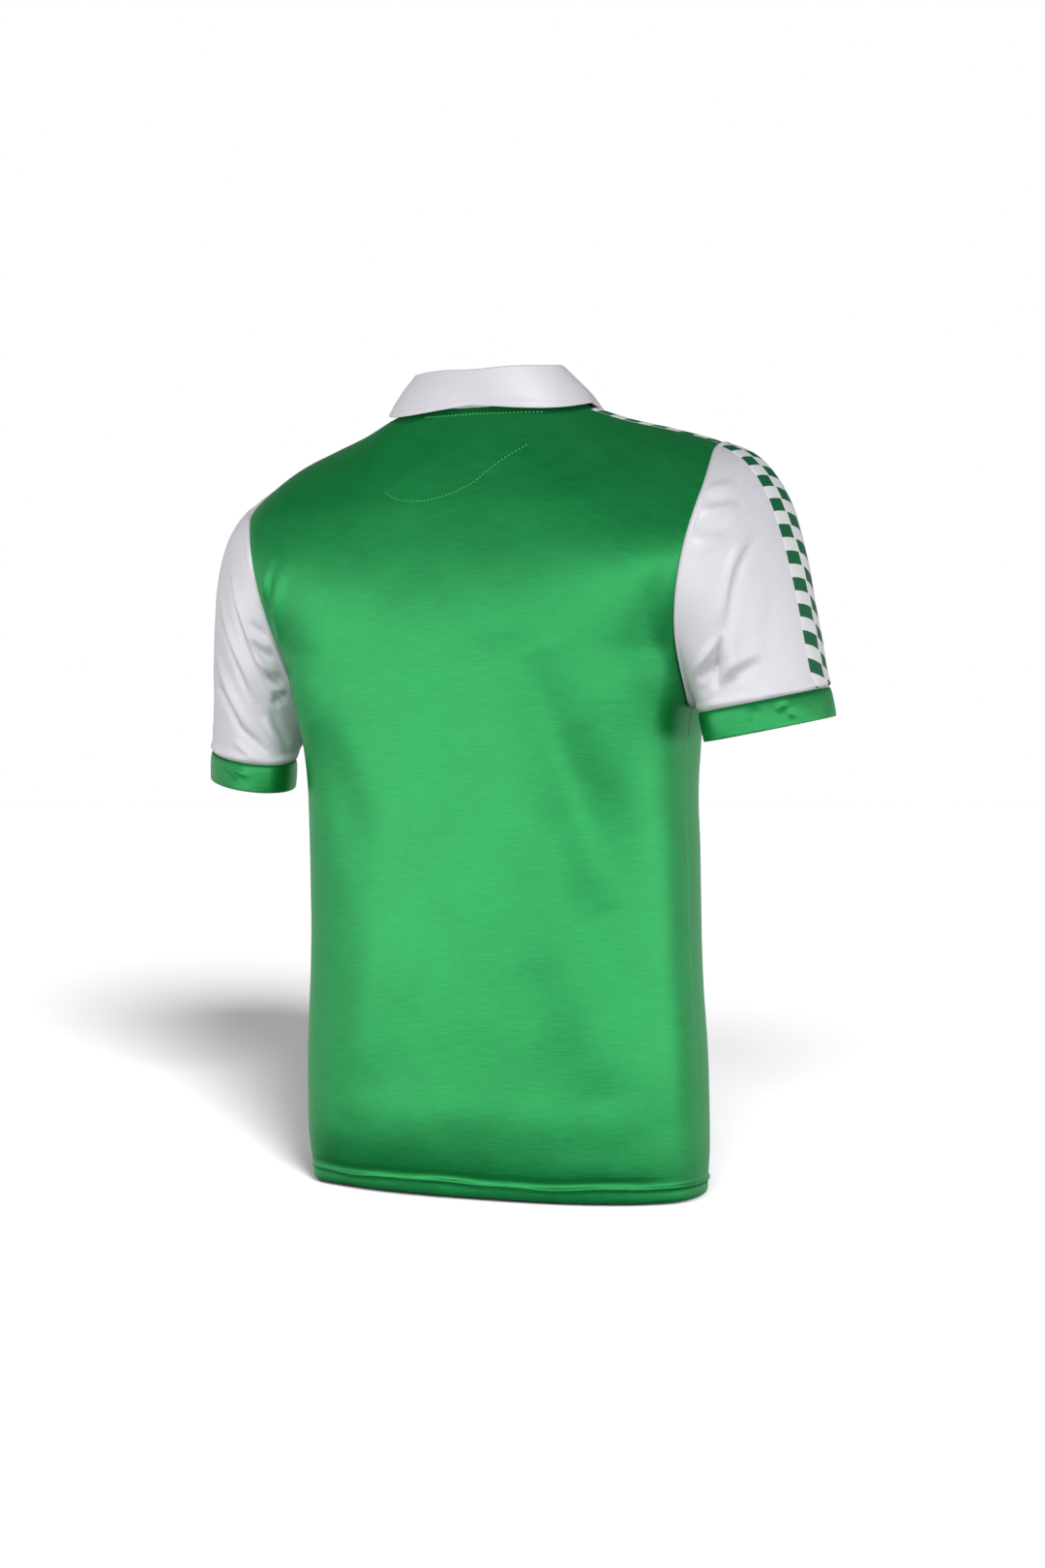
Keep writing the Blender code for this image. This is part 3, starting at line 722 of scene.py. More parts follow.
@dataclass(frozen=True)
class KnitFinish:
    """A fine filament knit with a satin face, with faint slubs along its courses."""

    name: str
    colour: Colour
    slub_colour: Colour
    roughness: float
    satin: float
    specular: float
    specular_tint: Colour
    wale: float = 0.0009
    course: float = 0.0007
    relief: float = 0.00010

    def knit_height(self, nodes: Nodes) -> bpy.types.NodeSocket:
        """The face of the knit: columns of small leaning loops."""
        across, down = nodes.cloth_place()
        column = nodes.math("FRACT", nodes.math("DIVIDE", across, self.wale))
        lean = nodes.math("MULTIPLY", nodes.math("ABSOLUTE", nodes.math("SUBTRACT", column, 0.5)), 2.0)
        course = nodes.math("DIVIDE", down, self.course)
        loop = nodes.math("FRACT", nodes.math("ADD", course, nodes.math("MULTIPLY", lean, 0.6)))
        bow = nodes.math("MULTIPLY", nodes.math("ABSOLUTE", nodes.math("SUBTRACT", loop, 0.5)), 2.0)
        ridge = nodes.math("SUBTRACT", 1.0, nodes.math("MULTIPLY", lean, lean))
        return nodes.math("ADD", nodes.math("MULTIPLY", ridge, 0.6), nodes.math("MULTIPLY", bow, 0.4))

    def make(self) -> bpy.types.Material:
        """Build the material.

        Returns:
            The material.
        """
        nodes = Nodes(self.name)
        slubs = nodes.ranged(nodes.stretched_noise(45.0, 780.0, 2.0), 0.42, 0.64, 0.0, 1.0)
        wales = nodes.ranged(nodes.stretched_noise(800.0, 160.0, 1.0), 0.35, 0.75, 0.0, 1.0)
        clouds = nodes.ranged(nodes.stretched_noise(16.0, 22.0, 3.0), 0.30, 0.70, 0.0, 1.0)
        specks = nodes.ranged(nodes.stretched_noise(700.0, 700.0, 0.0), 0.72, 0.80, 0.0, 1.0)
        mixed = nodes.math("ADD", nodes.math("MULTIPLY", slubs, 0.42), nodes.math("MULTIPLY", clouds, 0.30))
        mixed = nodes.math("ADD", mixed, nodes.math("MULTIPLY", wales, 0.14))
        mixed = nodes.math("ADD", mixed, nodes.math("MULTIPLY", specks, 0.45))
        colour = nodes.blend(mixed, self.colour, self.slub_colour)
        nodes.link(colour, nodes.shader.inputs["Base Color"])
        rough = nodes.ranged(mixed, 0.0, 1.0, self.roughness - 0.03, self.roughness + 0.03)
        nodes.link(rough, nodes.shader.inputs["Roughness"])
        relief = nodes.add("Bump")
        relief.inputs["Strength"].default_value = 0.25
        relief.inputs["Distance"].default_value = self.relief
        nodes.link(self.knit_height(nodes), relief.inputs["Height"])
        thread = nodes.add("Bump")
        thread.inputs["Strength"].default_value = 0.22
        thread.inputs["Distance"].default_value = self.relief
        nodes.link(slubs, thread.inputs["Height"])
        nodes.link(relief.outputs[0], thread.inputs["Normal"])
        nodes.link(thread.outputs[0], nodes.shader.inputs["Normal"])
        nodes.shader.inputs["Metallic"].default_value = self.satin
        nodes.shader.inputs["Specular IOR Level"].default_value = self.specular
        nodes.shader.inputs["Specular Tint"].default_value = (*self.specular_tint, 1.0)
        return nodes.material


@dataclass(frozen=True)
class ThreadFinish:
    """Sewing thread, a twisted filament."""

    name: str
    colour: Colour
    roughness: float = 0.45

    def make(self) -> bpy.types.Material:
        """Build the material.

        Returns:
            The material.
        """
        nodes = Nodes(self.name)
        place = nodes.add("TexCoord")
        noise = nodes.add("TexNoise")
        noise.inputs["Scale"].default_value = 900.0
        nodes.link(place.outputs["Object"], noise.inputs["Vector"])
        darker = tuple(0.75 * part for part in self.colour)
        nodes.link(nodes.blend(noise.outputs[0], darker, self.colour), nodes.shader.inputs["Base Color"])
        twist = nodes.add("Bump")
        twist.inputs["Strength"].default_value = 0.4
        twist.inputs["Distance"].default_value = 0.0001
        nodes.link(noise.outputs[0], twist.inputs["Height"])
        nodes.link(twist.outputs[0], nodes.shader.inputs["Normal"])
        nodes.shader.inputs["Roughness"].default_value = self.roughness
        return nodes.material


@dataclass(frozen=True)
class TapeFinish:
    """Woven tape: two rows of small leaning bars, those of one row level with the other's gaps."""

    name: str
    ground: Colour
    bar: Colour
    pitch: float = 0.0250
    bar_share: float = 0.50
    slant: float = 0.40
    row_place: float = 0.0100
    bar_half_width: float = 0.0088
    roughness: float = 0.50

    def make(self) -> bpy.types.Material:
        """Build the material.

        Returns:
            The material.
        """
        nodes = Nodes(self.name)
        across, down = nodes.cloth_place()
        from_row = nodes.math("SUBTRACT", nodes.math("ABSOLUTE", across), self.row_place)
        in_row = nodes.math("LESS_THAN", nodes.math("ABSOLUTE", from_row), self.bar_half_width)
        second = nodes.math("MULTIPLY", nodes.math("GREATER_THAN", across, 0.0), self.pitch / 2)
        leaning = nodes.math("ADD", down, nodes.math("MULTIPLY", across, self.slant))
        step = nodes.math("FRACT", nodes.math("DIVIDE", nodes.math("ADD", leaning, second), self.pitch))
        bars = nodes.math("MULTIPLY", nodes.math("LESS_THAN", step, self.bar_share), in_row)
        weave = nodes.ranged(nodes.stretched_noise(500.0, 1500.0, 1.0), 0.3, 0.7, 0.0, 1.0)
        ground = nodes.blend(weave, tuple(0.95 * part for part in self.ground), self.ground)
        bar = nodes.blend(weave, tuple(0.80 * part for part in self.bar), self.bar)
        nodes.link(nodes.blend(bars, ground, bar), nodes.shader.inputs["Base Color"])
        relief = nodes.add("Bump")
        relief.inputs["Strength"].default_value = 0.3
        relief.inputs["Distance"].default_value = 0.0001
        nodes.link(weave, relief.inputs["Height"])
        nodes.link(relief.outputs[0], nodes.shader.inputs["Normal"])
        nodes.shader.inputs["Roughness"].default_value = self.roughness
        nodes.shader.inputs["Specular IOR Level"].default_value = 0.3
        return nodes.material


GREEN_KNIT = KnitFinish(
    name="green_knit",
    colour=(0.0045, 0.292, 0.064),
    slub_colour=(0.0115, 0.400, 0.098),
    roughness=0.40,
    satin=0.55,
    specular=1.00,
    specular_tint=(0.74, 1.0, 0.84),
)
WHITE_KNIT = KnitFinish(
    name="white_knit",
    colour=(0.730, 0.722, 0.775),
    slub_colour=(0.765, 0.757, 0.805),
    roughness=0.50,
    satin=0.10,
    specular=0.30,
    specular_tint=(1.0, 1.0, 1.0),
)
GREEN_THREAD = ThreadFinish("green_thread", (0.24, 0.95, 0.40), 0.60)
HEM_THREAD = ThreadFinish("hem_thread", (0.03, 0.40, 0.12))
WHITE_THREAD = ThreadFinish("white_thread", (0.80, 0.79, 0.83))
TAPE = TapeFinish("tape", (0.780, 0.780, 0.800), (0.004, 0.135, 0.050))


# ---- Stitching -----------------------------------------------------------------------
@dataclass
class Stitching:
    """A line of machine stitches laid on cloth."""

    name: str
    thread: ThreadFinish
    slot: str
    length: float = 0.0026
    gap: float = 0.0007
    radius: float = 0.00024
    rings: int = 5
    corners: int = 6

    def lay(self, lines: list[tuple[Array, Array]]) -> bpy.types.Object:
        """Sew along lines.

        Args:
            lines: For each line, its points on the cloth and the cloth's outward normals.

        Returns:
            The stitches, as one piece.
        """
        tubes = [self.tubes(points, normals) for points, normals in lines]
        points = np.concatenate(tubes).reshape(-1, 3)
        stitches = len(points) // (self.rings * self.corners)
        start = np.arange(stitches)[:, None] * self.rings * self.corners
        ring, corner = np.meshgrid(
            np.arange(self.rings - 1), np.arange(self.corners), indexing="ij"
        )
        ring, corner = ring.ravel(), corner.ravel()
        after = (corner + 1) % self.corners
        quad = np.stack(
            [
                ring * self.corners + corner,
                ring * self.corners + after,
                (ring + 1) * self.corners + after,
                (ring + 1) * self.corners + corner,
            ],
            axis=1,
        )
        faces = (start[:, :, None] + quad[None]).reshape(-1, 4)
        piece = add_object(self.name, mesh_from(self.name, points, faces, None), self.thread.make())
        return ride(piece, self.slot)

    def tubes(self, points: Array, normals: Array) -> Array:
        """Corners of a small arched tube for each stitch of a line.

        Args:
            points: The line's points on the cloth.
            normals: The cloth's outward normals.

        Returns:
            Stitches by rings by corners by 3.
        """
        along = travelled(points)
        pitch = self.length + self.gap
        starts = np.arange(0.0, along[-1] - self.length, pitch)
        shares = np.linspace(0.0, 1.0, self.rings)
        wanted = starts[:, None] + shares[None] * self.length
        centre = read_line(points, along, wanted)
        out = unit(read_line(normals, along, wanted))
        way = unit(np.gradient(centre, axis=1))
        sideways = np.cross(way, out)
        arch = np.array([-0.9, 0.5, 0.8, 0.5, -0.9])[: self.rings] * self.radius
        size = np.array([0.45, 0.9, 1.0, 0.9, 0.45])[: self.rings] * self.radius
        turns = np.linspace(0.0, 2 * np.pi, self.corners, endpoint=False)
        centre = centre + out * arch[None, :, None]
        round_out = out[:, :, None] * np.cos(turns)[None, None, :, None]
        round_side = sideways[:, :, None] * np.sin(turns)[None, None, :, None]
        return centre[:, :, None] + (round_out + round_side) * size[None, :, None, None]


# ---- Body panels ---------------------------------------------------------------------
@dataclass
class Panel:
    """A body panel: from the shoulder seam and the neck down to the turned-up hem."""

    form: BodyForm
    side: Side
    name: str
    finish: KnitFinish
    creases: tuple[Crease, ...]
    cut: tuple[float, float]
    cut_area: float
    length: float = 0.701
    hem_height: float = 0.0130
    hem_roll: float = 0.0010
    wall: float = 0.0008
    neck_columns: int = 22
    half_columns: int = 56
    edge_columns: int = 6
    edge_share: float = 0.028
    yoke_rows: int = 34
    armhole_rows: int = 36
    body_rows: int = 100
    hem_rows: int = 30
    samples: int = 300
    easing: int = 60
    crumple: Crumple = Crumple(height=0.00022, shortest=0.035, longest=0.130)

    def shares(self) -> Array:
        """Shares of a half row, closer together near the seam."""
        inner = np.linspace(0.0, 1.0 - self.edge_share, self.half_columns - self.edge_columns + 1)
        outer = 1.0 - self.edge_share * np.linspace(1.0, 0.0, self.edge_columns + 1)[1:]
        return np.concatenate([inner, outer])

    def level_row(self, height: float, left: bool) -> Array:
        """Half a row below the yoke level, from the centre to the edge."""
        _, half_width, back, front, back_square, front_square = self.form.section_curve.at(height)
        square = back_square if self.side is Side.BACK else front_square
        edge = 1.0
        if height > self.form.underarm_level:
            reach = float(self.form.armhole_half_width(height, self.side, left))
            edge = min(reach / half_width, 1.0)
        end = math.acos(edge ** (square / 2.0))
        angles = np.linspace(np.pi / 2, end, self.samples)
        across = half_width * signed_power(np.cos(angles), 2.0 / square)
        reach = back if self.side is Side.BACK else front
        depth = reach * signed_power(np.sin(angles), 2.0 / square)
        line = np.stack([across, depth, np.full_like(across, height)], axis=1)
        along = travelled(line)
        wanted = self.shares() * (along[-1] - SEAM_GAP / 2)
        return read_line(line, along, wanted)

    def top_distances(self) -> Array:
        """Distances from the centre along the top edge: the neck, then the shoulder seam."""
        share = np.linspace(0.0, 1.0, self.neck_columns + 1)
        if self.side is Side.BACK:
            share = np.sin(share * np.pi / 2)
        neck = self.form.neck_half_width * share
        seam = self.form.shoulder_half_width
        count = self.half_columns - self.neck_columns
        inner_end = seam * (1.0 - self.edge_share)
        inner = np.linspace(neck[-1], inner_end, count - self.edge_columns + 1)[1:]
        outer = np.linspace(inner_end, seam, self.edge_columns + 1)[1:]
        return np.concatenate([neck, inner, outer])

    def edge_over(self, turn: float, left: bool) -> float:
        """The armhole edge's distance from the centre at a turn over the shoulder."""
        across = self.form.shoulder_half_width
        for _ in range(8):
            height = self.form.over(across, turn, self.side)[2]
            across = float(self.form.armhole_half_width(height, self.side, left))
        return across

    def yoke_half_rows(self, left: bool) -> list[Array]:
        """Half rows from the top edge down to just above the yoke level."""
        top = self.top_distances()
        yoke = self.level_row(self.form.yoke_level, left)[:, 0]
        start = np.where(
            np.arange(len(top)) < self.neck_columns, self.form.neck_turn(top, self.side), 0.0
        )
        downs = np.concatenate([[0.0, 0.007, 0.016, 0.028], np.linspace(0.042, 1.0, self.yoke_rows)])
        rows = []
        for down in downs[:-1]:
            shares = (1 - down) * top / top[-1] + down * yoke / yoke[-1]
            turn = start + (np.pi / 2 - start) * down
            edge = self.edge_over(down * np.pi / 2, left)
            row = self.form.over(shares * edge, turn, self.side)
            if down == 0.0:
                row[self.neck_columns :, 1] += self.side.value * SEAM_GAP / 2
            rows.append(row)
        return rows

    def heights(self) -> Array:
        """Heights of the level rows, the hem's close together."""
        upper = np.linspace(0.0, 1.0, self.armhole_rows + 1) ** 0.8
        upper = self.form.yoke_level + (self.form.underarm_level - self.form.yoke_level) * upper
        above_hem = -self.length + self.hem_height + 0.012
        lower = np.linspace(self.form.underarm_level, above_hem, self.body_rows + 1)[1:]
        hem = np.linspace(above_hem, -self.length + self.hem_roll, self.hem_rows + 1)[1:]
        return np.concatenate([upper, lower, hem])

    def base(self) -> Array:
        """The panel's grid on the bare form, without the hem's turned-up layer."""
        left, right = (self.half(is_left) for is_left in (True, False))
        return np.concatenate([left[:, ::-1], right[:, 1:] * np.array([-1.0, 1.0, 1.0])], axis=1)

    def half(self, left: bool) -> Array:
        """Half the panel's grid as a left half, from the centre to the edge."""
        level = [self.level_row(height, left) for height in self.heights()]
        return self.eased(np.array(self.yoke_half_rows(left) + level))

    def eased(self, half: Array) -> Array:
        """The half rows with the bend near the yoke level drawn out into a wide soft one."""
        eased = half.copy()
        for _ in range(self.easing):
            free = np.clip((-0.092 - eased[1:-1, :, 2]) / 0.020, 0.0, 1.0)
            free *= np.clip((eased[1:-1, :, 2] + 0.215) / 0.020, 0.0, 1.0)
            middle = (eased[:-2] + eased[2:]) / 2
            eased[1:-1] += 0.5 * free[..., None] * (middle - eased[1:-1])
        return eased

    def armhole_edge(self, left: bool) -> Array:
        """An armhole edge of the bare form as a left one, from the shoulder to the underarm."""
        count = len(self.yoke_half_rows(left)) + self.armhole_rows + 1
        return self.half(left)[:count, -1]

    def lift(self, points: Array, normals: Array) -> Array:
        """How far the cloth stands off the bare form.

        Args:
            points: Points of the form, in rows of 3.
            normals: Their outward normals.

        Returns:
            A distance for each point.
        """
        total = np.zeros(len(points))
        for crease in self.creases:
            line = crease.line(lambda x, z: self.form.surface(x, z, self.side))
            total += crease.lifts(points, normals, line)
        edge = np.minimum(
            self.form.armhole_half_width(points[:, 2], self.side, points[:, 0] > 0.0),
            self.form.section_curve.at(points[:, 2])[:, 1],
        )
        to_edge = np.clip(edge - np.abs(points[:, 0]), 0.0, None)
        total *= np.clip(to_edge / 0.012, 0.0, 1.0)
        total += self.crumple.lifts(points) * np.clip(to_edge / 0.010, 0.0, 1.0)
        return total + self.hem_lift(points) - 0.0003 * np.exp(-((to_edge / 0.0022) ** 2))

    def hem_lift(self, points: Array) -> Array:
        """The relief of the hem: a puffed line over the stitches, and the cloth's tuck."""
        above = points[:, 2] + self.length
        across = points[:, 0]
        half_width = self.form.section_curve.at(points[:, 2])[:, 1]
        inner = np.clip((half_width - np.abs(across)) / 0.060, 0.0, 1.0)
        inner = inner * inner * (3.0 - 2.0 * inner)
        ridge = 0.0123 + 0.0010 * np.sin(across * 34.0 + 0.6) + 0.0004 * np.sin(across * 90.0)
        swell = 1.0 + 0.30 * np.sin(across * 61.0 + 1.0)
        puff = 0.0015 * swell * bump(above, ridge, 0.0020)
        valley = -0.0012 * inner * bump(above, ridge + 0.0060, 0.0034)
        band = 0.0005 * bump(above, 0.0050, 0.0045)
        rolled = -0.0018 * np.clip((0.0024 - above) / 0.0024, 0.0, 1.0) ** 2
        drawn = (0.25 + 0.75 * inner) * np.clip(0.62 + 2.2 * across, 0.16, 1.0)
        reach = 0.050 + 0.060 * across
        height = np.clip(np.maximum(above, ridge) / reach, 0.0, 1.0)
        tuck = -0.0105 * drawn * (1.0 - height) ** 2
        rightward = np.clip(0.45 - 3.0 * across, 0.0, 1.0)
        swag = 0.0022 * inner * (1.0 - 0.6 * rightward) * bump(above, 0.058, 0.034)
        belly = 0.0022 * inner * rightward * bump(above, 0.022, 0.018)
        return puff + valley + band + rolled + tuck + swag + belly

    def grid(self) -> tuple[Array, Array]:
        """The cloth's outer face with the hem's turned-up layer, and its normals.

        Returns:
            The points and outward normals, rows by columns by 3.
        """
        base = self.base()
        normals = grid_normals(base, False, self.form.middle * np.array([1.0, 1.0, 2.0]))
        lift = self.lift(base.reshape(-1, 3), normals.reshape(-1, 3)).reshape(base.shape[:2])
        cloth = base + normals * lift[..., None]
        edge, out = cloth[-1], unit(normals[-1] * np.array([1.0, 1.0, 0.0]))
        rows, ways = list(cloth), list(normals)
        roll = self.hem_roll
        for turn in np.linspace(0.0, np.pi, 7)[1:]:
            inset, drop = roll * (1 - math.cos(turn)), roll * math.sin(turn)
            rows.append(edge - out * inset - np.array([0.0, 0.0, drop]))
            ways.append(out)
        for rise in np.arange(0.0015, self.hem_height - roll, 0.0015):
            index = int(np.argmin(np.abs(base[:, base.shape[1] // 2, 2] - (edge[0, 2] + rise))))
            rows.append(cloth[index] - out * 2 * roll)
            ways.append(out)
        return self.form.leaned(np.array(rows)), np.array(ways)

    def build(self) -> bpy.types.Object:
        """Make the panel.

        Returns:
            The piece.
        """
        self.cloth, self.normals = self.grid()
        mesh = Grid(self.cloth, cloth_uv(self.cloth)).mesh(self.name, self.side is Side.FRONT)
        piece = add_object(self.name, mesh, self.finish.make())
        thicken(piece, self.wall)
        ride(piece, "green_knit", self.name.replace("_cloth", ""))
        return piece

    def row_at(self, height: float) -> tuple[Array, Array]:
        """The outer row of the cloth nearest a height, and its normals."""
        middle = self.cloth.shape[1] // 2
        outer = len(self.cloth) - 6 - len(np.arange(0.0015, self.hem_height - self.hem_roll, 0.0015))
        index = int(np.argmin(np.abs(self.cloth[:outer, middle, 2] - height)))
        return self.cloth[index], self.normals[index]

    def on_cloth(self, path: Rows) -> tuple[Array, Array]:
        """A line drawn on the cloth.

        Args:
            path: Corners as distances from the centre and heights.

        Returns:
            Points on the cloth and its outward normals.
        """
        corners = np.array(path, dtype=float)
        keys = np.linspace(0.0, 1.0, len(corners))
        curve = Curve(tuple((key, *corner) for key, corner in zip(keys, corners)))
        fine = curve.at(np.linspace(0.0, 1.0, 240))[:, 1:]

        def place(x: Array, z: Array) -> Array:
            return self.form.surface(x, z, self.side)

        step = 2e-4
        here = place(fine[:, 0], fine[:, 1])
        across = place(fine[:, 0] + step, fine[:, 1]) - place(fine[:, 0] - step, fine[:, 1])
        upward = place(fine[:, 0], fine[:, 1] + step) - place(fine[:, 0], fine[:, 1] - step)
        normals = unit(np.cross(across, upward))
        normals *= np.sign(np.sum(normals * (here - self.form.middle), axis=1))[:, None]
        return self.form.leaned(here + normals * self.lift(here, normals)[:, None]), normals


# ---- Sleeves and cuffs ---------------------------------------------------------------
@dataclass
class Armhole:
    """The loop of a left armhole, read by angle: 0 at the top and 90 at the back."""

    back: Array
    front: Array

    def __post_init__(self) -> None:
        """Join the two panels' edges into one loop."""
        up = self.front[::-1]
        top, underarm = (self.back[0] + up[-1]) / 2, (self.back[-1] + up[0]) / 2
        first = np.vstack([top, self.back[1:-1], underarm])
        second = np.vstack([underarm, up[1:-1], top])
        self.corners = np.vstack([first, second[1:]])
        along_first, along_second = travelled(first), travelled(second)
        self.angles = np.concatenate(
            [
                180.0 * along_first / along_first[-1],
                180.0 * (1.0 + along_second[1:] / along_second[-1]),
            ]
        )

    def at(self, angles: Array) -> Array:
        """Points of the loop at angles in degrees."""
        return read_line(self.corners, self.angles, np.mod(angles, 360.0 + TINY))


@dataclass
class Sleeve:
    """A set-in short sleeve, from its armhole to a tilted oval cuff."""

    arm: Arm
    armhole: Armhole
    finish: KnitFinish
    out: float
    back: float
    height: float
    major: float
    minor: float
    rise_out: float
    rise_back: float
    head_up: float
    head_pull: float
    creases: tuple[Crease, ...]
    cut: tuple[float, float]
    cut_area: float
    major_angle: float = -45.0
    head_out: float = 0.95
    head_arrive: float = 0.90
    # out, sideways, up, pull, pull on arrival
    side_aim: tuple[float, ...] = (0.70, 0.20, -0.69, 0.50, 0.75)
    underarm_aim: tuple[float, ...] = (0.60, 0.00, -0.80, 0.45, 0.45)
    cuff_height: float = 0.026
    wall: float = 0.0008
    lap: float = 0.0025
    columns: int = 168
    rows: int = 84
    crumple: Crumple = Crumple(height=0.00020, seed=11)

    @property
    def name(self) -> str:
        """The arm's name in lower case."""
        return self.arm.name.lower()

    @property
    def mirror(self) -> Array:
        """Turns a left-hand shape into this arm's."""
        return np.array([self.arm.value, 1.0, 1.0])

    def angles(self) -> Array:
        """The columns' angles, the first repeated last."""
        return np.linspace(0.0, 360.0, self.columns + 1)

    def shares(self) -> Array:
        """The rows' shares of the length, closer together at both seams."""
        ends = np.array([0.0, 0.005, 0.010, 0.016, 0.023, 0.031])
        middle = np.linspace(0.042, 0.958, self.rows)
        return np.concatenate([ends, middle, 1.0 - ends[::-1]])

    def cuff_ring(self, angles: Array, drop: float, proud: float) -> Array:
        """Points of the oval where sleeve and cuff meet, or this far below and outside it."""
        turned = np.radians(angles - self.major_angle)
        major, minor = self.major + proud, self.minor + proud
        radius = 1.0 / np.sqrt((np.cos(turned) / major) ** 2 + (np.sin(turned) / minor) ** 2)
        out = radius * np.cos(np.radians(angles))
        back = radius * np.sin(np.radians(angles))
        axis = unit(np.array([-self.rise_out, -self.rise_back, 1.0]))
        rise = self.rise_out * out + self.rise_back * back
        ring = np.stack([self.out + out, self.back + back, self.height + rise], axis=1)
        return ring + axis * (self.cuff_height / 2 - drop)

    def base(self) -> Array:
        """The grid of a left-hand sleeve on its bare form."""
        angles = self.angles()
        start, end = self.armhole.at(angles), self.cuff_ring(angles, 0.0, 0.0)
        lift = np.cos(np.radians(angles))[:, None]
        head = (self.head_out, 0.0, self.head_up, self.head_pull, self.head_arrive)
        aims = (
            (1 + lift) ** 2 / 4 * np.array(head)
            + (1 + lift) * (1 - lift) / 2 * np.array(self.side_aim)
            + (1 - lift) ** 2 / 4 * np.array(self.underarm_aim)
        )
        leave = aims[:, :3].copy()
        leave[:, 1] *= np.sin(np.radians(angles))
        reach = np.linalg.norm(end - start, axis=1)[:, None]
        start = start + unit(leave) * SEAM_GAP
        axis = unit(np.array([self.rise_out, self.rise_back, -1.0]))
        shares = self.shares()[:, None, None]
        return hermite(start, end, leave * aims[:, 3:4] * reach, axis * aims[:, 4:5] * reach, shares)

    def place(self, base: Array) -> Callable[[Array, Array], Array]:
        """A reader of points by angle and share of the length."""
        angles, shares = self.angles(), self.shares()

        def read(angle: Array, share: Array) -> Array:
            column = np.interp(np.mod(angle, 360.0), angles, np.arange(len(angles)))
            row = np.interp(share, shares, np.arange(len(shares)))
            left, top = column.astype(int), row.astype(int)
            left, top = np.minimum(left, len(angles) - 2), np.minimum(top, len(shares) - 2)
            x, y = (column - left)[:, None], (row - top)[:, None]
            upper = base[top, left] * (1 - x) + base[top, left + 1] * x
            lower = base[top + 1, left] * (1 - x) + base[top + 1, left + 1] * x
            return upper * (1 - y) + lower * y

        return read

    def seam_lift(self, base: Array) -> Array:
        """The rolls of cloth at the armhole seam and over the cuff."""
        down = np.array([travelled(base[:, i]) for i in range(base.shape[1])]).T
        from_cuff = down[-1] - down
        angles = np.radians(self.angles())[None]
        puff = 1.0 + 0.35 * np.sin(7 * angles + 1.0) + 0.25 * np.sin(13 * angles)
        armhole = 0.0009 * bump(down, 0.0034, 0.0022) - 0.0004 * bump(down, 0.0, 0.0012)
        cuff = 0.0011 * puff * bump(from_cuff, 0.0045, 0.0035) - 0.0014 * bump(from_cuff, 0.0, 0.0015)
        return armhole + cuff

    def grid(self) -> tuple[Array, Array]:
        """The left-hand sleeve's cloth and its outward normals."""
        base = self.base()
        normals = grid_normals(base, True, base.reshape(-1, 3).mean(axis=0))
        read = self.place(base)
        points, ways = base.reshape(-1, 3), normals.reshape(-1, 3)
        lift = self.crumple.lifts(points)
        for crease in self.creases:
            lift = lift + crease.lifts(points, ways, crease.line(read))
        down = np.array([travelled(base[:, i]) for i in range(base.shape[1])]).T
        free = np.clip(down / 0.010, 0.0, 1.0) * np.clip((down[-1] - down) / 0.008, 0.0, 1.0)
        lift = lift.reshape(base.shape[:2]) * free + self.seam_lift(base)
        lift[:, -1] = lift[:, 0]
        return base + normals * lift[..., None], normals

    def build(self) -> bpy.types.Object:
        """Make the sleeve.

        Returns:
            The piece.
        """
        self.cloth, self.normals = self.grid()
        inward = self.cloth[0] - unit(self.cloth[1] - self.cloth[0]) * self.lap
        under = inward - self.normals[0] * (self.wall + 0.0004)
        cloth = np.concatenate([under[None], self.cloth])
        grid = Grid(cloth * self.mirror, cloth_uv(cloth), looped=True)
        mesh = grid.mesh(f"sleeve_{self.name}_cloth", self.arm is Arm.RIGHT)
        piece = add_object(mesh.name, mesh, self.finish.make())
        thicken(piece, self.wall)
        ride(piece, "white_knit", f"sleeve_{self.name}")
        return piece


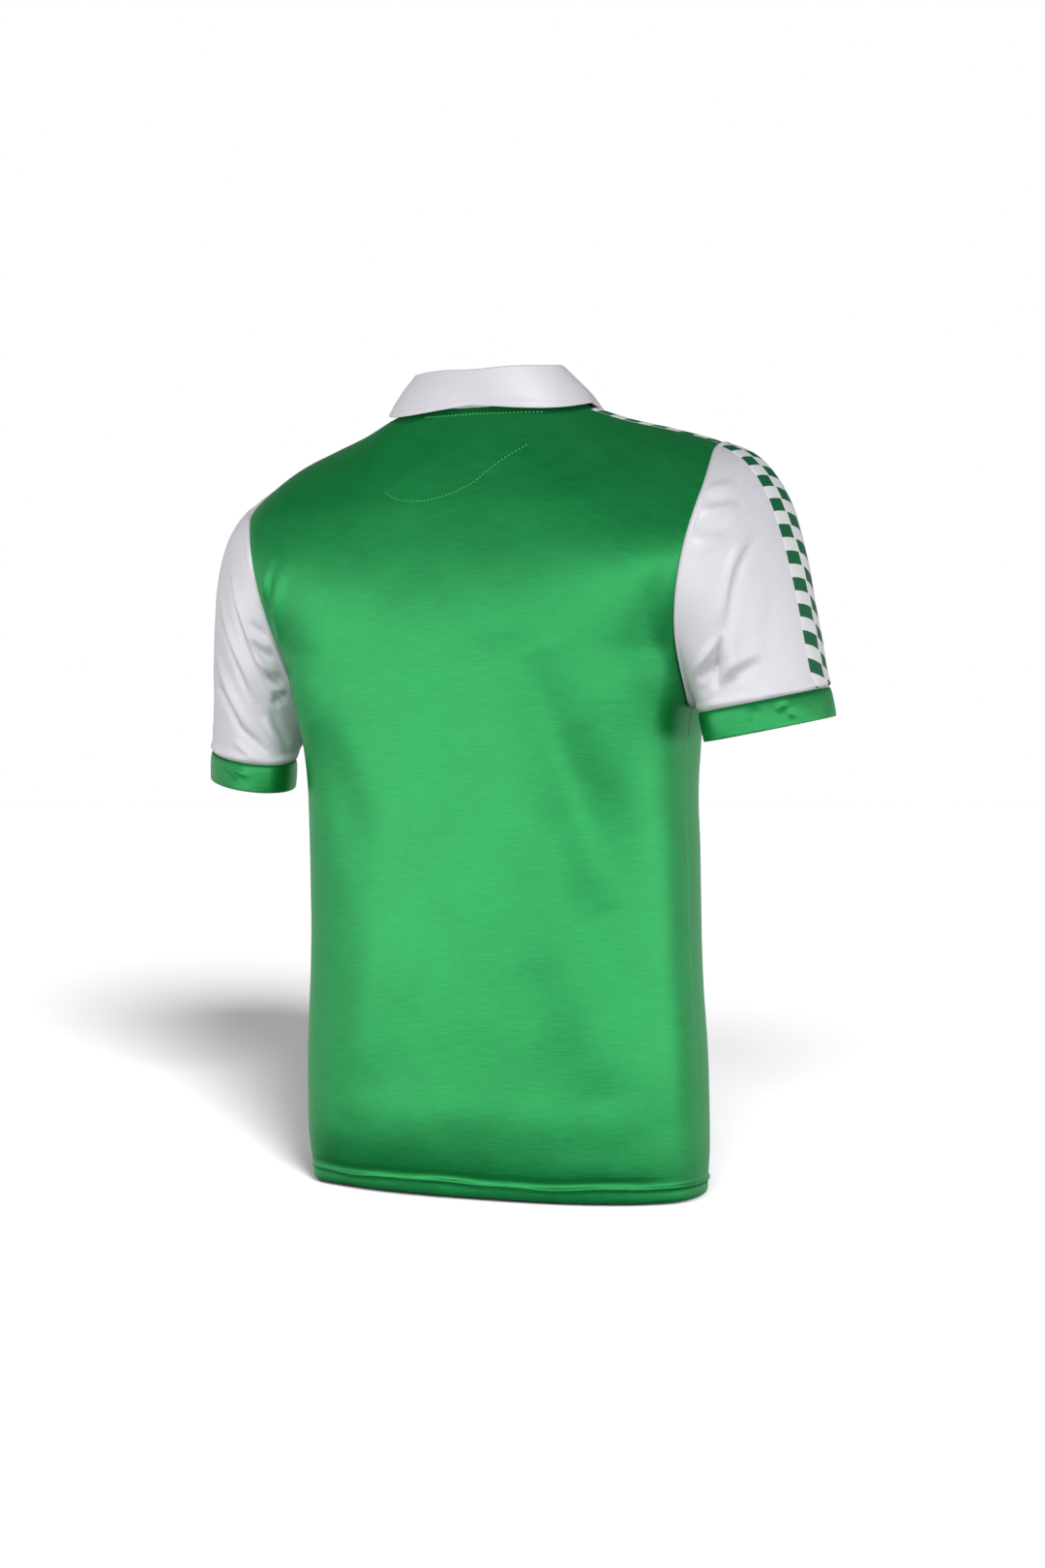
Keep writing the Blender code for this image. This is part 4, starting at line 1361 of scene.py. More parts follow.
@dataclass
class Cuff:
    """The band at a sleeve's end: the body's knit folded double."""

    sleeve: Sleeve
    finish: KnitFinish
    creases: tuple[Crease, ...]
    proud: float = 0.0006
    inset: float = 0.0022
    roll: float = 0.0011
    rows: int = 20
    crumple: Crumple = Crumple(height=0.00014, shortest=0.012, longest=0.045, seed=3)

    def profile(self) -> list[tuple[float, float]]:
        """The band's closed section: how far down, and how far out."""
        height = self.sleeve.cuff_height
        outer = [
            (SEAM_GAP + share * (height - self.roll), self.proud - 0.0012 * math.exp(-share * 14)
             + 0.0004 * math.sin(math.pi * share))
            for share in np.linspace(0.0, 1.0, self.rows)
        ]
        low = SEAM_GAP + height - self.roll
        turn = [
            (low + self.roll * math.sin(angle), self.proud - self.roll * (1 - math.cos(angle)))
            for angle in np.linspace(0.0, math.pi, 8)[1:]
        ]
        inner = [
            (low - share * (low - SEAM_GAP), self.proud - self.inset)
            for share in np.linspace(0.0, 1.0, self.rows // 2)[1:]
        ]
        return outer + turn + inner

    def build(self) -> bpy.types.Object:
        """Make the cuff.

        Returns:
            The piece.
        """
        angles = self.sleeve.angles()
        section = self.profile()
        grid = np.array([self.sleeve.cuff_ring(angles, drop, proud) for drop, proud in section])
        outer = self.rows + 4
        centre = grid[: self.rows].reshape(-1, 3).mean(axis=0)
        normals = grid_normals(grid[: self.rows], True, centre)
        points, ways = grid[: self.rows].reshape(-1, 3), normals.reshape(-1, 3)
        lift = self.crumple.lifts(points)

        def place(angle: Array, drop: Array) -> Array:
            rings = [self.sleeve.cuff_ring(np.array([a]), d, self.proud)[0] for a, d in zip(angle, drop)]
            return np.array(rings)

        for crease in self.creases:
            lift = lift + crease.lifts(points, ways, crease.line(place))
        lift = lift.reshape(normals.shape[:2])
        lift[:, -1] = lift[:, 0]
        grid[: self.rows] += normals * lift[..., None]
        last = normals[-1] * lift[-1][:, None]
        fade = np.linspace(1.0, 0.0, outer - self.rows + 1)[1:]
        grid[self.rows : outer] += last[None] * fade[:, None, None]
        grid = np.concatenate([grid, grid[:1]])
        name = f"cuff_{self.sleeve.name}_cloth"
        shell = Grid(grid * self.sleeve.mirror, cloth_uv(grid), looped=True)
        mesh = shell.mesh(name, self.sleeve.arm is Arm.RIGHT)
        weld_first_row(mesh, self.sleeve.columns, len(grid))
        piece = add_object(name, mesh, self.finish.make())
        ride(piece, "green_band", f"cuff_{self.sleeve.name}")
        return piece


def weld_first_row(mesh: bpy.types.Mesh, columns: int, rows: int) -> None:
    """Join a mesh's last row of points to its first, so that its section closes.

    Args:
        mesh: A mesh made row by row.
        columns: How many points a row has.
        rows: How many rows it has.
    """
    import bmesh

    work = bmesh.new()
    work.from_mesh(mesh)
    work.verts.ensure_lookup_table()
    last = (rows - 1) * columns
    pairs = {work.verts[last + i]: work.verts[i] for i in range(columns)}
    bmesh.ops.weld_verts(work, targetmap=pairs)
    work.to_mesh(mesh)
    work.free()
    mesh.update()


# ---- Collar --------------------------------------------------------------------------
@dataclass
class Collar:
    """The fold-over collar: its stand, the roll at its top and the fall over the body."""

    form: BodyForm
    finish: KnitFinish
    wall: float = 0.0014
    body_wall: float = 0.0012
    fall_bulge: float = 0.0015
    roll_radius: float = 0.0026
    settle_reach: float = 0.020
    v_start: float = 0.006
    neck_columns: int = 26
    stand_steps: int = 8
    roll_steps: int = 10
    fall_steps: int = 22
    walk_step: float = 0.003
    neck_middle: Array = field(default_factory=lambda: np.array([0.0, -0.020, -0.030]))
    # place, stand, lean, reach, clearance
    rows: Rows = (
        (0.00, 0.004, 0.05, 0.060, 0.0032),
        (0.20, 0.010, 0.35, 0.050, 0.0034),
        (0.40, 0.021, 0.65, 0.032, 0.0044),
        (0.58, 0.0345, 0.90, 0.012, 0.0056),
        (0.78, 0.0340, 1.30, 0.012, 0.0052),
        (1.00, 0.0310, 1.20, 0.003, 0.0050),
    )

    def neckline(self) -> tuple[Array, Array]:
        """Stations on the left half of the neckline, from the V's foot to the centre back.

        Returns:
            Places across and over, and the points of the neck edge.
        """
        share = np.linspace(0.0, 1.0, self.neck_columns + 1)
        front = self.form.neck_half_width * share
        back = self.form.neck_half_width * np.sin(share * np.pi / 2)
        front_places = np.stack([front, -self.form.neck_turn(front, Side.FRONT)], axis=1)
        back_places = np.stack([back, self.form.neck_turn(back, Side.BACK)], axis=1)[-2::-1]
        first = self.v_start / front[1]
        front_places[0] += (front_places[1] - front_places[0]) * min(first, 0.95)
        places = np.concatenate([front_places, back_places])
        base, _, _, _ = self.form.frame_over(places[:, 0], places[:, 1])
        return places, base

    def section(self, row: Array) -> Array:
        """The visible face in section: distance from the neckline, and height.

        Args:
            row: A row of the collar's table.

        Returns:
            The points, from the foot of the stand to the edge of the fall.
        """
        _, stand, lean, reach, clearance = row
        up = unit(np.array([-lean, 1.0]))
        side = np.array([up[1], -up[0]])
        foot = np.array([-SEAM_GAP - self.wall, -self.body_wall])
        top = foot + up * stand
        centre = top + side * self.roll_radius
        edge = np.array([reach, clearance])
        gap = edge - centre
        aim = math.atan2(gap[1], gap[0]) + math.acos(self.roll_radius / np.linalg.norm(gap))
        begin = math.atan2(-side[1], -side[0])
        if begin < aim:
            begin += 2 * math.pi
        turns = np.linspace(begin, aim, self.roll_steps + 1)
        roll = centre + self.roll_radius * np.stack([np.cos(turns), np.sin(turns)], axis=1)
        shares = np.linspace(0, 1, self.stand_steps + 1)[:-1, None]
        rising = foot + (top - foot) * shares
        across = unit(edge - roll[-1])
        lift = np.array([-across[1], across[0]])
        shares = np.linspace(0, 1, self.fall_steps + 1)[1:, None]
        fall = roll[-1] + (edge - roll[-1]) * shares
        fall = fall + lift * self.fall_bulge * np.sin(np.pi * shares)
        return np.concatenate([rising, roll, fall])

    def walk_out(self, place: Array, heading: Array, distances: Array) -> tuple[Array, Array]:
        """Points and normals of the form at distances from a place, in a heading.

        Args:
            place: Across and over.
            heading: The way to walk.
            distances: How far to each wanted point.

        Returns:
            The points and the outward normals.
        """
        count = max(int(math.ceil(distances.max() / self.walk_step)), 1)
        step = distances.max() / count
        across, over = np.array([place[0]]), np.array([place[1]])
        here, normal, across_way, over_way = self.form.frame_over(across, over)
        points, normals = [here[0]], [normal[0]]
        for _ in range(count):
            ways = np.stack([across_way[0], over_way[0]], axis=1)
            move = np.linalg.lstsq(ways, heading, rcond=None)[0]
            move *= step / np.linalg.norm(ways @ move)
            across, over = across + move[0], over + move[1]
            here, normal, across_way, over_way = self.form.frame_over(across, over)
            heading = unit(here[0] - points[-1])
            points.append(here[0])
            normals.append(normal[0])
        keys = np.linspace(0.0, distances.max(), count + 1)
        return (
            read_line(np.array(points), keys, distances),
            unit(read_line(np.array(normals), keys, distances)),
        )

    def faces(self) -> Array:
        """The visible face: a row for each station round the neck, right to left."""
        places, bases = self.neckline()
        along = travelled(bases)
        ways = np.gradient(bases, axis=0)
        ways[-1] = np.array([-1.0, 0.0, 0.0])
        table = Curve(self.rows)
        _, normals, _, _ = self.form.frame_over(places[:, 0], places[:, 1])
        rows = []
        for number, (place, base) in enumerate(zip(places, bases)):
            section = self.section(table.at(along[number] / along[-1]))
            inward = unit(np.cross(ways[number], normals[number]))
            if np.dot(inward, self.neck_middle - base) < 0:
                inward = -inward
            flat = section[:, 0]
            out = np.clip(flat, 1e-5, None)
            points, ups = self.walk_out(place, -inward, out)
            walked = points + ups * section[:, 1:]
            straight = base - inward * flat[:, None] + normals[number] * section[:, 1:]
            rows.append(np.where((flat > 0)[:, None], walked, straight))
        half = np.array(rows)
        half[-1, :, 0] = 0.0
        other = half[:-1][::-1] * np.array([-1.0, 1.0, 1.0])
        return np.concatenate([half, other])[::-1]

    def build(self) -> bpy.types.Object:
        """Make the collar, with a rounded edge to its fall.

        Returns:
            The piece.
        """
        outer = self.faces()
        down = np.gradient(outer, axis=0)
        around = np.gradient(outer, axis=1)
        normals = unit(np.cross(down, around))
        middle = len(outer) // 2
        if normals[middle, -1, 1] < 0:
            normals = -normals
        outer = outer + normals * self.relief(outer)[..., None]
        self.cloth, self.normals = outer, normals
        tangent = unit(outer[:, -1] - outer[:, -2])
        half = self.wall / 2
        cap = [
            outer[:, -1] - normals[:, -1] * half * (1 - math.cos(turn))
            + tangent * half * math.sin(turn)
            for turn in np.linspace(0.0, math.pi, 6)[1:-1]
        ]
        inner = (outer - normals * self.wall)[:, ::-1]
        section = np.concatenate([outer, np.stack(cap, axis=1), inner, outer[:, :1]], axis=1)
        mesh = Grid(section, cloth_uv(section), looped=True).mesh("collar_cloth", True)
        cap_ends(mesh, section.shape[1] - 1, len(section))
        piece = add_object("collar_cloth", mesh, self.finish.make())
        ride(piece, "white_knit", "collar")
        return piece

    def relief(self, outer: Array) -> Array:
        """The stitched line near the fall's edge, and faint waves."""
        from_edge = np.array([travelled(row[::-1])[::-1] for row in outer])
        waves = Crumple(height=0.00016, shortest=0.02, longest=0.06, seed=8)
        lift = waves.lifts(outer.reshape(-1, 3)).reshape(outer.shape[:2])
        return lift - 0.0006 * bump(from_edge, 0.0055, 0.0010)


def cap_ends(mesh: bpy.types.Mesh, columns: int, rows: int) -> None:
    """Close the first and the last ring of a mesh made row by row.

    Args:
        mesh: The mesh.
        columns: How many points a ring has.
        rows: How many rings it has.
    """
    import bmesh

    work = bmesh.new()
    work.from_mesh(mesh)
    work.verts.ensure_lookup_table()
    half = columns // 2
    for start in (0, (rows - 1) * columns):
        ring = [work.verts[start + i] for i in range(columns)]
        for i in range(half - 1):
            corners = [ring[i], ring[i + 1], ring[columns - 2 - i], ring[columns - 1 - i]]
            if len(set(corners)) == 4:
                work.faces.new(corners)
    bmesh.ops.recalc_face_normals(work, faces=work.faces)
    work.to_mesh(mesh)
    work.free()
    mesh.update()


# ---- Tapes ---------------------------------------------------------------------------
@dataclass
class Tape:
    """A woven tape sewn on over the cloth."""

    finish: TapeFinish
    width: float = 0.038
    wall: float = 0.0005
    lift: float = 0.0008
    edge_drop: float = 0.0007
    columns: int = 16

    def offsets(self) -> Array:
        """Distances of the columns from the tape's middle."""
        return np.linspace(-self.width / 2, self.width / 2, self.columns + 1)

    def lifts(self) -> Array:
        """How far each column stands off the cloth, the edges pressed into it."""
        return self.lift - self.edge_drop * (np.abs(self.offsets()) / (self.width / 2)) ** 6

    def strip(self, name: str, grid: Array, flipped: bool, node: str) -> bpy.types.Object:
        """Make a tape from a grid whose rows run along it.

        Args:
            name: The piece's name.
            grid: Its outer face.
            flipped: Whether the faces' order is turned round.
            node: The node that it stands for.

        Returns:
            The piece.
        """
        along = travelled(grid[:, self.columns // 2])
        uv = np.stack(np.broadcast_arrays(self.offsets()[None], along[:, None]), axis=2)
        piece = add_object(name, Grid(grid, uv).mesh(name, flipped), self.finish.make())
        thicken(piece, self.wall)
        ride(piece, "tape", node)
        return piece


@dataclass
class ShoulderTape(Tape):
    """The tape along a shoulder seam."""

    behind: float = -0.006
    start: float = 0.100
    rows: int = 60

    def build(self, form: BodyForm, arm: Arm) -> bpy.types.Object:
        """Make the tape.

        Args:
            form: The body's form.
            arm: Which shoulder.

        Returns:
            The piece.
        """
        across = np.linspace(self.start, form.shoulder_half_width, self.rows)
        ridge = form.shoulder_curve.at(across)[:, 2]
        x, offset = np.meshgrid(across, self.offsets(), indexing="ij")
        depth = ridge[:, None] + self.behind + offset
        back = depth >= ridge[:, None]
        behind = form.turn_at_depth(x, depth, Side.BACK)
        ahead = form.turn_at_depth(x, depth, Side.FRONT)
        points, normals, _, _ = form.frame_over(x, np.where(back, behind, -ahead))
        grid = (points + normals * self.lifts()[None, :, None]) * np.array([arm.value, 1, 1])
        name = f"shoulder_tape_{arm.name.lower()}"
        return self.strip(name + "_cloth", grid, arm is Arm.RIGHT, name)


@dataclass
class SleeveTape(Tape):
    """The tape down a sleeve's outer line."""

    # share of the sleeve's length, angle of the tape's middle
    path: Rows = ((0.00, 3.0), (0.12, 8.0), (0.25, 10.5), (0.50, 7.0), (0.75, -6.0), (1.00, -18.0))
    skip: int = 1

    def build(self, sleeve: Sleeve) -> bpy.types.Object:
        """Make the tape on a sleeve's cloth.

        Args:
            sleeve: The sleeve, already built.

        Returns:
            The piece.
        """
        angles = sleeve.angles()
        count = len(angles) // 3
        turned = np.concatenate([angles[-count - 1 : -1] - 360.0, angles[: count + 1]])
        middles = Curve(self.path).at(sleeve.shares())[:, 1]
        cloth = zip(sleeve.cloth, sleeve.normals, middles)
        rows = []
        for row, ways, middle in list(cloth)[self.skip : len(middles) - self.skip]:
            line = np.concatenate([row[-count - 1 : -1], row[: count + 1]])
            ways = np.concatenate([ways[-count - 1 : -1], ways[: count + 1]])
            along = travelled(line)
            wanted = np.interp(middle, turned, along) + self.offsets()
            out = unit(read_line(ways, along, wanted))
            rows.append(read_line(line, along, wanted) + out * self.lifts()[:, None])
        grid = np.array(rows) * sleeve.mirror
        name = f"sleeve_tape_{sleeve.name}"
        return self.strip(name + "_cloth", grid, sleeve.arm is Arm.RIGHT, name)


# ---- Studio --------------------------------------------------------------------------
@dataclass
class Studio:
    """Floor, lights, backdrop and camera."""

    floor_level: float = -0.7050
    azimuth: float = 205.0
    distance: float = 2.5
    eye_height: float = -0.338
    lens: float = 63.28
    shift: float = 0.0148
    ring_level: float = 1.06
    ring_rise: float = 0.0
    ring_spread: float = 0.29
    ring_bearing: float = -4.0
    ring_behind: float = 0.70
    low_level: float = 0.04
    high_level: float = 0.060

    def way(self, bearing: float, rise: float) -> Vector:
        """The way from the jersey to a light, by bearing from the camera and by rise.

        Args:
            bearing: Degrees to the right of the camera, as the camera sees it.
            rise: Degrees above level.

        Returns:
            The way, at length one.
        """
        turn = math.radians(self.azimuth + bearing)
        lift = math.radians(rise)
        return Vector(
            (
                math.sin(turn) * math.cos(lift),
                -math.cos(turn) * math.cos(lift),
                math.sin(lift),
            )
        )

    def camera(self) -> None:
        """Make the camera."""
        data = bpy.data.cameras.new("camera")
        data.lens = self.lens
        data.sensor_width = 36.0
        data.shift_x = self.shift
        made = bpy.data.objects.new("camera", data)
        way = self.way(0.0, 0.0)
        made.location = way * self.distance + Vector((0.0, 0.0, self.eye_height))
        made.rotation_euler = (-way).to_track_quat("-Z", "Y").to_euler()
        bpy.context.scene.collection.objects.link(made)
        bpy.context.scene.camera = made

    def softbox(
        self, name: str, bearing: float, height: float, distance: float, size: tuple, power: float
    ) -> None:
        """Stand an area light that faces the jersey level.

        Args:
            name: Its name.
            bearing: Degrees to the right of the camera.
            height: The height of its middle.
            distance: How far away, in metres.
            size: Its width and height.
            power: Its power in watts.
        """
        data = bpy.data.lights.new(name, "AREA")
        data.shape = "RECTANGLE"
        data.size, data.size_y = size
        data.energy = power
        made = bpy.data.objects.new(name, data)
        way = self.way(bearing, 0.0)
        made.location = way * distance + Vector((0.0, 0.0, height))
        made.rotation_euler = (-way).to_track_quat("-Z", "Y").to_euler()
        made.visible_camera = False
        bpy.context.scene.collection.objects.link(made)

    def sun(
        self,
        name: str,
        bearing: float,
        rise: float,
        power: float,
        angle: float,
        lit: list,
        glossy: bool = True,
    ) -> None:
        """Put up a wide sun that lights chosen things alone.

        Args:
            name: Its name.
            bearing: Degrees to the right of the camera.
            rise: Degrees above level.
            power: Its strength in watts per square metre.
            angle: How wide it is, in degrees.
            lit: The objects that it lights.
            glossy: Whether it shows in reflections.
        """
        data = bpy.data.lights.new(name, "SUN")
        data.energy = power
        data.angle = math.radians(angle)
        made = bpy.data.objects.new(name, data)
        made.rotation_euler = (-self.way(bearing, rise)).to_track_quat("-Z", "Y").to_euler()
        made.visible_glossy = glossy
        bpy.context.scene.collection.objects.link(made)
        only = bpy.data.collections.new(name + "_lights")
        for thing in lit:
            only.objects.link(thing)
        made.light_linking.receiver_collection = only

    def floor(self) -> bpy.types.Object:
        """Make the floor."""
        reach = 40.0
        corners = np.array([(-reach, -reach, 0), (reach, -reach, 0), (reach, reach, 0), (-reach, reach, 0)])
        corners[:, 2] = self.floor_level
        mesh = mesh_from("floor", corners, np.array([[0, 1, 2, 3]]), None)
        nodes = Nodes("floor_paper")
        place = nodes.add("TexCoord")
        grain = nodes.add("TexNoise")
        grain.inputs["Scale"].default_value = 300.0
        nodes.link(place.outputs["Object"], grain.inputs["Vector"])
        pale = nodes.blend(grain.outputs[0], (0.445, 0.445, 0.450), (0.455, 0.455, 0.460))
        nodes.link(pale, nodes.shader.inputs["Base Color"])
        nodes.shader.inputs["Roughness"].default_value = 1.0
        nodes.shader.inputs["Specular IOR Level"].default_value = 0.0
        made = add_object("floor", mesh, nodes.material)
        made.visible_diffuse = False
        made.visible_glossy = False
        return made

    def backdrop(self) -> None:
        """Light from a soft ring at the jersey's height, and plain white to the camera."""
        world = bpy.data.worlds.new("studio")
        bpy.context.scene.world = world
        world.use_nodes = True
        tree = world.node_tree
        tree.nodes.clear()

        def math_node(operation: str, *values: object) -> bpy.types.NodeSocket:
            node = tree.nodes.new("ShaderNodeMath")
            node.operation = operation
            for socket, value in zip(node.inputs, values):
                if isinstance(value, (int, float)):
                    socket.default_value = value
                else:
                    tree.links.new(value, socket)
            return node.outputs[0]

        place = tree.nodes.new("ShaderNodeTexCoord")
        split = tree.nodes.new("ShaderNodeSeparateXYZ")
        tree.links.new(place.outputs["Generated"], split.inputs[0])
        x, y, z = split.outputs
        lifted = math_node("DIVIDE", math_node("SUBTRACT", z, self.ring_rise), self.ring_spread)
        square = math_node("MULTIPLY", lifted, lifted)
        band = math_node("EXPONENT", math_node("MULTIPLY", square, -1.0))
        facing = self.way(self.ring_bearing, 0.0)
        toward = math_node("ADD", math_node("MULTIPLY", x, facing.x), math_node("MULTIPLY", y, facing.y))
        side = tree.nodes.new("ShaderNodeMapRange")
        side.interpolation_type = "SMOOTHSTEP"
        tree.links.new(toward, side.inputs[0])
        for socket, number in zip(side.inputs[1:5], (-0.75, 0.35, self.ring_behind, 1.0)):
            socket.default_value = number
        ring = math_node("MULTIPLY", math_node("MULTIPLY", band, side.outputs[0]), self.ring_level)
        above = tree.nodes.new("ShaderNodeMapRange")
        tree.links.new(z, above.inputs[0])
        for socket, number in zip(above.inputs[1:5], (-1.0, 1.0, self.low_level, self.high_level)):
            socket.default_value = number
        ambient = tree.nodes.new("ShaderNodeBackground")
        tree.links.new(math_node("ADD", ring, above.outputs[0]), ambient.inputs[1])
        white = tree.nodes.new("ShaderNodeBackground")
        white.inputs[0].default_value = (1.0, 1.0, 1.0, 1.0)
        ambient.inputs[0].default_value = (1.0, 1.0, 1.0, 1.0)
        seen = tree.nodes.new("ShaderNodeLightPath")
        mix = tree.nodes.new("ShaderNodeMixShader")
        output = tree.nodes.new("ShaderNodeOutputWorld")
        tree.links.new(seen.outputs["Is Camera Ray"], mix.inputs[0])
        tree.links.new(ambient.outputs[0], mix.inputs[1])
        tree.links.new(white.outputs[0], mix.inputs[2])
        tree.links.new(mix.outputs[0], output.inputs[0])

    def brighten(self, whites: list, greens: list) -> None:
        """Give the white cloth and the green cloth soft lights of their own."""
        self.sun("top_on_white", -14.0, 50.0, 1.42, 22.0, whites)
        self.sun("top_on_green", 18.0, 76.0, 1.30, 40.0, greens, glossy=False)
        self.sun("left_on_green", -66.0, 6.0, 0.55, 30.0, greens, glossy=False)

    def build(self) -> None:
        """Make the whole studio."""
        bpy.context.scene.view_settings.view_transform = "Standard"
        self.camera()
        floor = self.floor()
        self.sun("key_on_floor", 10.5, 15.0, 18.9, 12.0, [floor])
        self.sun("fill_on_floor", -7.5, 19.0, 5.1, 13.0, [floor])
        self.sun("top_on_floor", 0.0, 84.0, 0.45, 20.0, [floor])
        self.softbox("left_softbox", -56.0, -0.46, 1.5, (1.6, 0.5), 4.6)
        self.softbox("front_softbox", 0.0, -0.46, 1.5, (1.6, 0.5), 4.6)
        self.softbox("right_softbox", 56.0, -0.46, 1.5, (1.6, 0.5), 4.6)
        self.backdrop()


# ---- Tables of folds -----------------------------------------------------------------
BACK_CREASES = (
    Crease(((-0.130, -0.104), (0.000, -0.104), (0.130, -0.104)), 0.055, -0.0045),
    Crease(((-0.056, -0.205), (-0.072, -0.320), (-0.092, -0.430), (-0.128, -0.610)), 0.031, 0.0062),
    Crease(((-0.080, -0.222), (-0.105, -0.320), (-0.136, -0.450)), 0.023, -0.0078),
    Crease(((-0.140, -0.240), (-0.146, -0.300), (-0.158, -0.380)), 0.024, 0.0026),
    Crease(((0.140, -0.280), (0.112, -0.355), (0.085, -0.430)), 0.028, -0.0030),
    Crease(((0.060, -0.430), (0.085, -0.535), (0.110, -0.640)), 0.034, 0.0030),
    Crease(((0.158, -0.222), (0.160, -0.262), (0.166, -0.310)), 0.026, 0.0026),
    Crease(((0.176, -0.118), (0.190, -0.143), (0.195, -0.168), (0.196, -0.190)), 0.0050, 0.0034),
    Crease(((0.180, -0.138), (0.186, -0.160), (0.191, -0.177), (0.192, -0.200)), 0.0045, -0.0034),
    Crease(((0.166, -0.130), (0.178, -0.158), (0.185, -0.182), (0.187, -0.215)), 0.0070, 0.0028),
    Crease(((-0.192, -0.150), (-0.184, -0.185), (-0.180, -0.230)), 0.012, -0.0022),
    Crease(((-0.010, -0.014), (-0.022, -0.026), (-0.034, -0.033)), 0.0042, -0.0014),
    Crease(((-0.036, -0.026), (-0.044, -0.036), (-0.054, -0.040)), 0.0038, -0.0016),
    Crease(((-0.020, -0.016), (-0.030, -0.030), (-0.046, -0.044)), 0.0050, 0.0012),
    Crease(((0.030, -0.020), (0.045, -0.040), (0.070, -0.060)), 0.012, -0.0010),
)
FRONT_CREASES = (
    Crease(((0.130, -0.270), (0.095, -0.345), (0.060, -0.420)), 0.026, -0.0050),
    Crease(((-0.120, -0.260), (-0.080, -0.355), (-0.040, -0.450)), 0.028, -0.0042),
    Crease(((-0.090, -0.480), (-0.070, -0.570), (-0.050, -0.660)), 0.034, 0.0038),
    Crease(((0.070, -0.460), (0.085, -0.560), (0.100, -0.660)), 0.032, 0.0034),
    Crease(((0.160, -0.130), (0.172, -0.165), (0.176, -0.205)), 0.0080, 0.0026),
    Crease(((0.150, -0.140), (0.161, -0.175), (0.166, -0.215)), 0.0065, -0.0026),
    Crease(((-0.160, -0.120), (-0.170, -0.160), (-0.175, -0.210)), 0.0085, 0.0028),
    Crease(((-0.150, -0.135), (-0.158, -0.175), (-0.164, -0.220)), 0.0065, -0.0028),
    Crease(((0.020, -0.150), (0.045, -0.175), (0.085, -0.190)), 0.016, 0.0018),
    Crease(((-0.020, -0.155), (-0.055, -0.185), (-0.095, -0.200)), 0.015, -0.0018),
)
LEFT_SLEEVE_CREASES = (
    Crease(((-24, 0.07), (8, 0.07), (38, 0.07)), 0.015, -0.0040),
    Crease(((75, 0.24), (96, 0.30), (116, 0.37), (135, 0.47)), 0.0040, -0.0036),
    Crease(((72, 0.20), (92, 0.25), (114, 0.32), (136, 0.42)), 0.0058, 0.0036),
    Crease(((75, 0.46), (103, 0.51), (118, 0.59)), 0.0040, -0.0032),
    Crease(((66, 0.38), (90, 0.43), (110, 0.48), (124, 0.56)), 0.0062, 0.0036),
    Crease(((58, 0.70), (92, 0.73), (111, 0.81)), 0.0042, -0.0032),
    Crease(((60, 0.60), (84, 0.64), (104, 0.70), (120, 0.80)), 0.0058, 0.0034),
    Crease(((129, 0.04), (118, 0.16), (107, 0.24)), 0.0030, -0.0022),
    Crease(((134, 0.08), (122, 0.20), (112, 0.25)), 0.0030, 0.0022),
    Crease(((137, 0.12), (124, 0.25), (114, 0.28)), 0.0030, -0.0026),
    Crease(((143, 0.20), (128, 0.30), (118, 0.33)), 0.0032, 0.0028),
    Crease(((148, 0.22), (135, 0.31), (127, 0.38)), 0.0030, -0.0030),
    Crease(((150, 0.27), (140, 0.35), (133, 0.43)), 0.0032, 0.0030),
    Crease(((152, 0.32), (143, 0.40), (138, 0.50)), 0.0042, -0.0034),
    Crease(((159, 0.72), (144, 0.62), (135, 0.53)), 0.0050, -0.0026),
    Crease(((152, 0.80), (138, 0.70), (128, 0.62)), 0.0050, 0.0028),
    Crease(((103, 0.76), (118, 0.80), (133, 0.88)), 0.0038, -0.0026),
    Crease(((96, 0.86), (112, 0.90), (128, 0.95)), 0.0036, 0.0018),
    Crease(((210, 0.20), (232, 0.34), (250, 0.46)), 0.0075, -0.0036),
    Crease(((222, 0.16), (246, 0.30), (268, 0.44)), 0.0080, 0.0030),
    Crease(((232, 0.52), (256, 0.66), (276, 0.82)), 0.0070, -0.0028),
    Crease(((244, 0.46), (268, 0.60), (290, 0.78)), 0.0085, 0.0024),
)
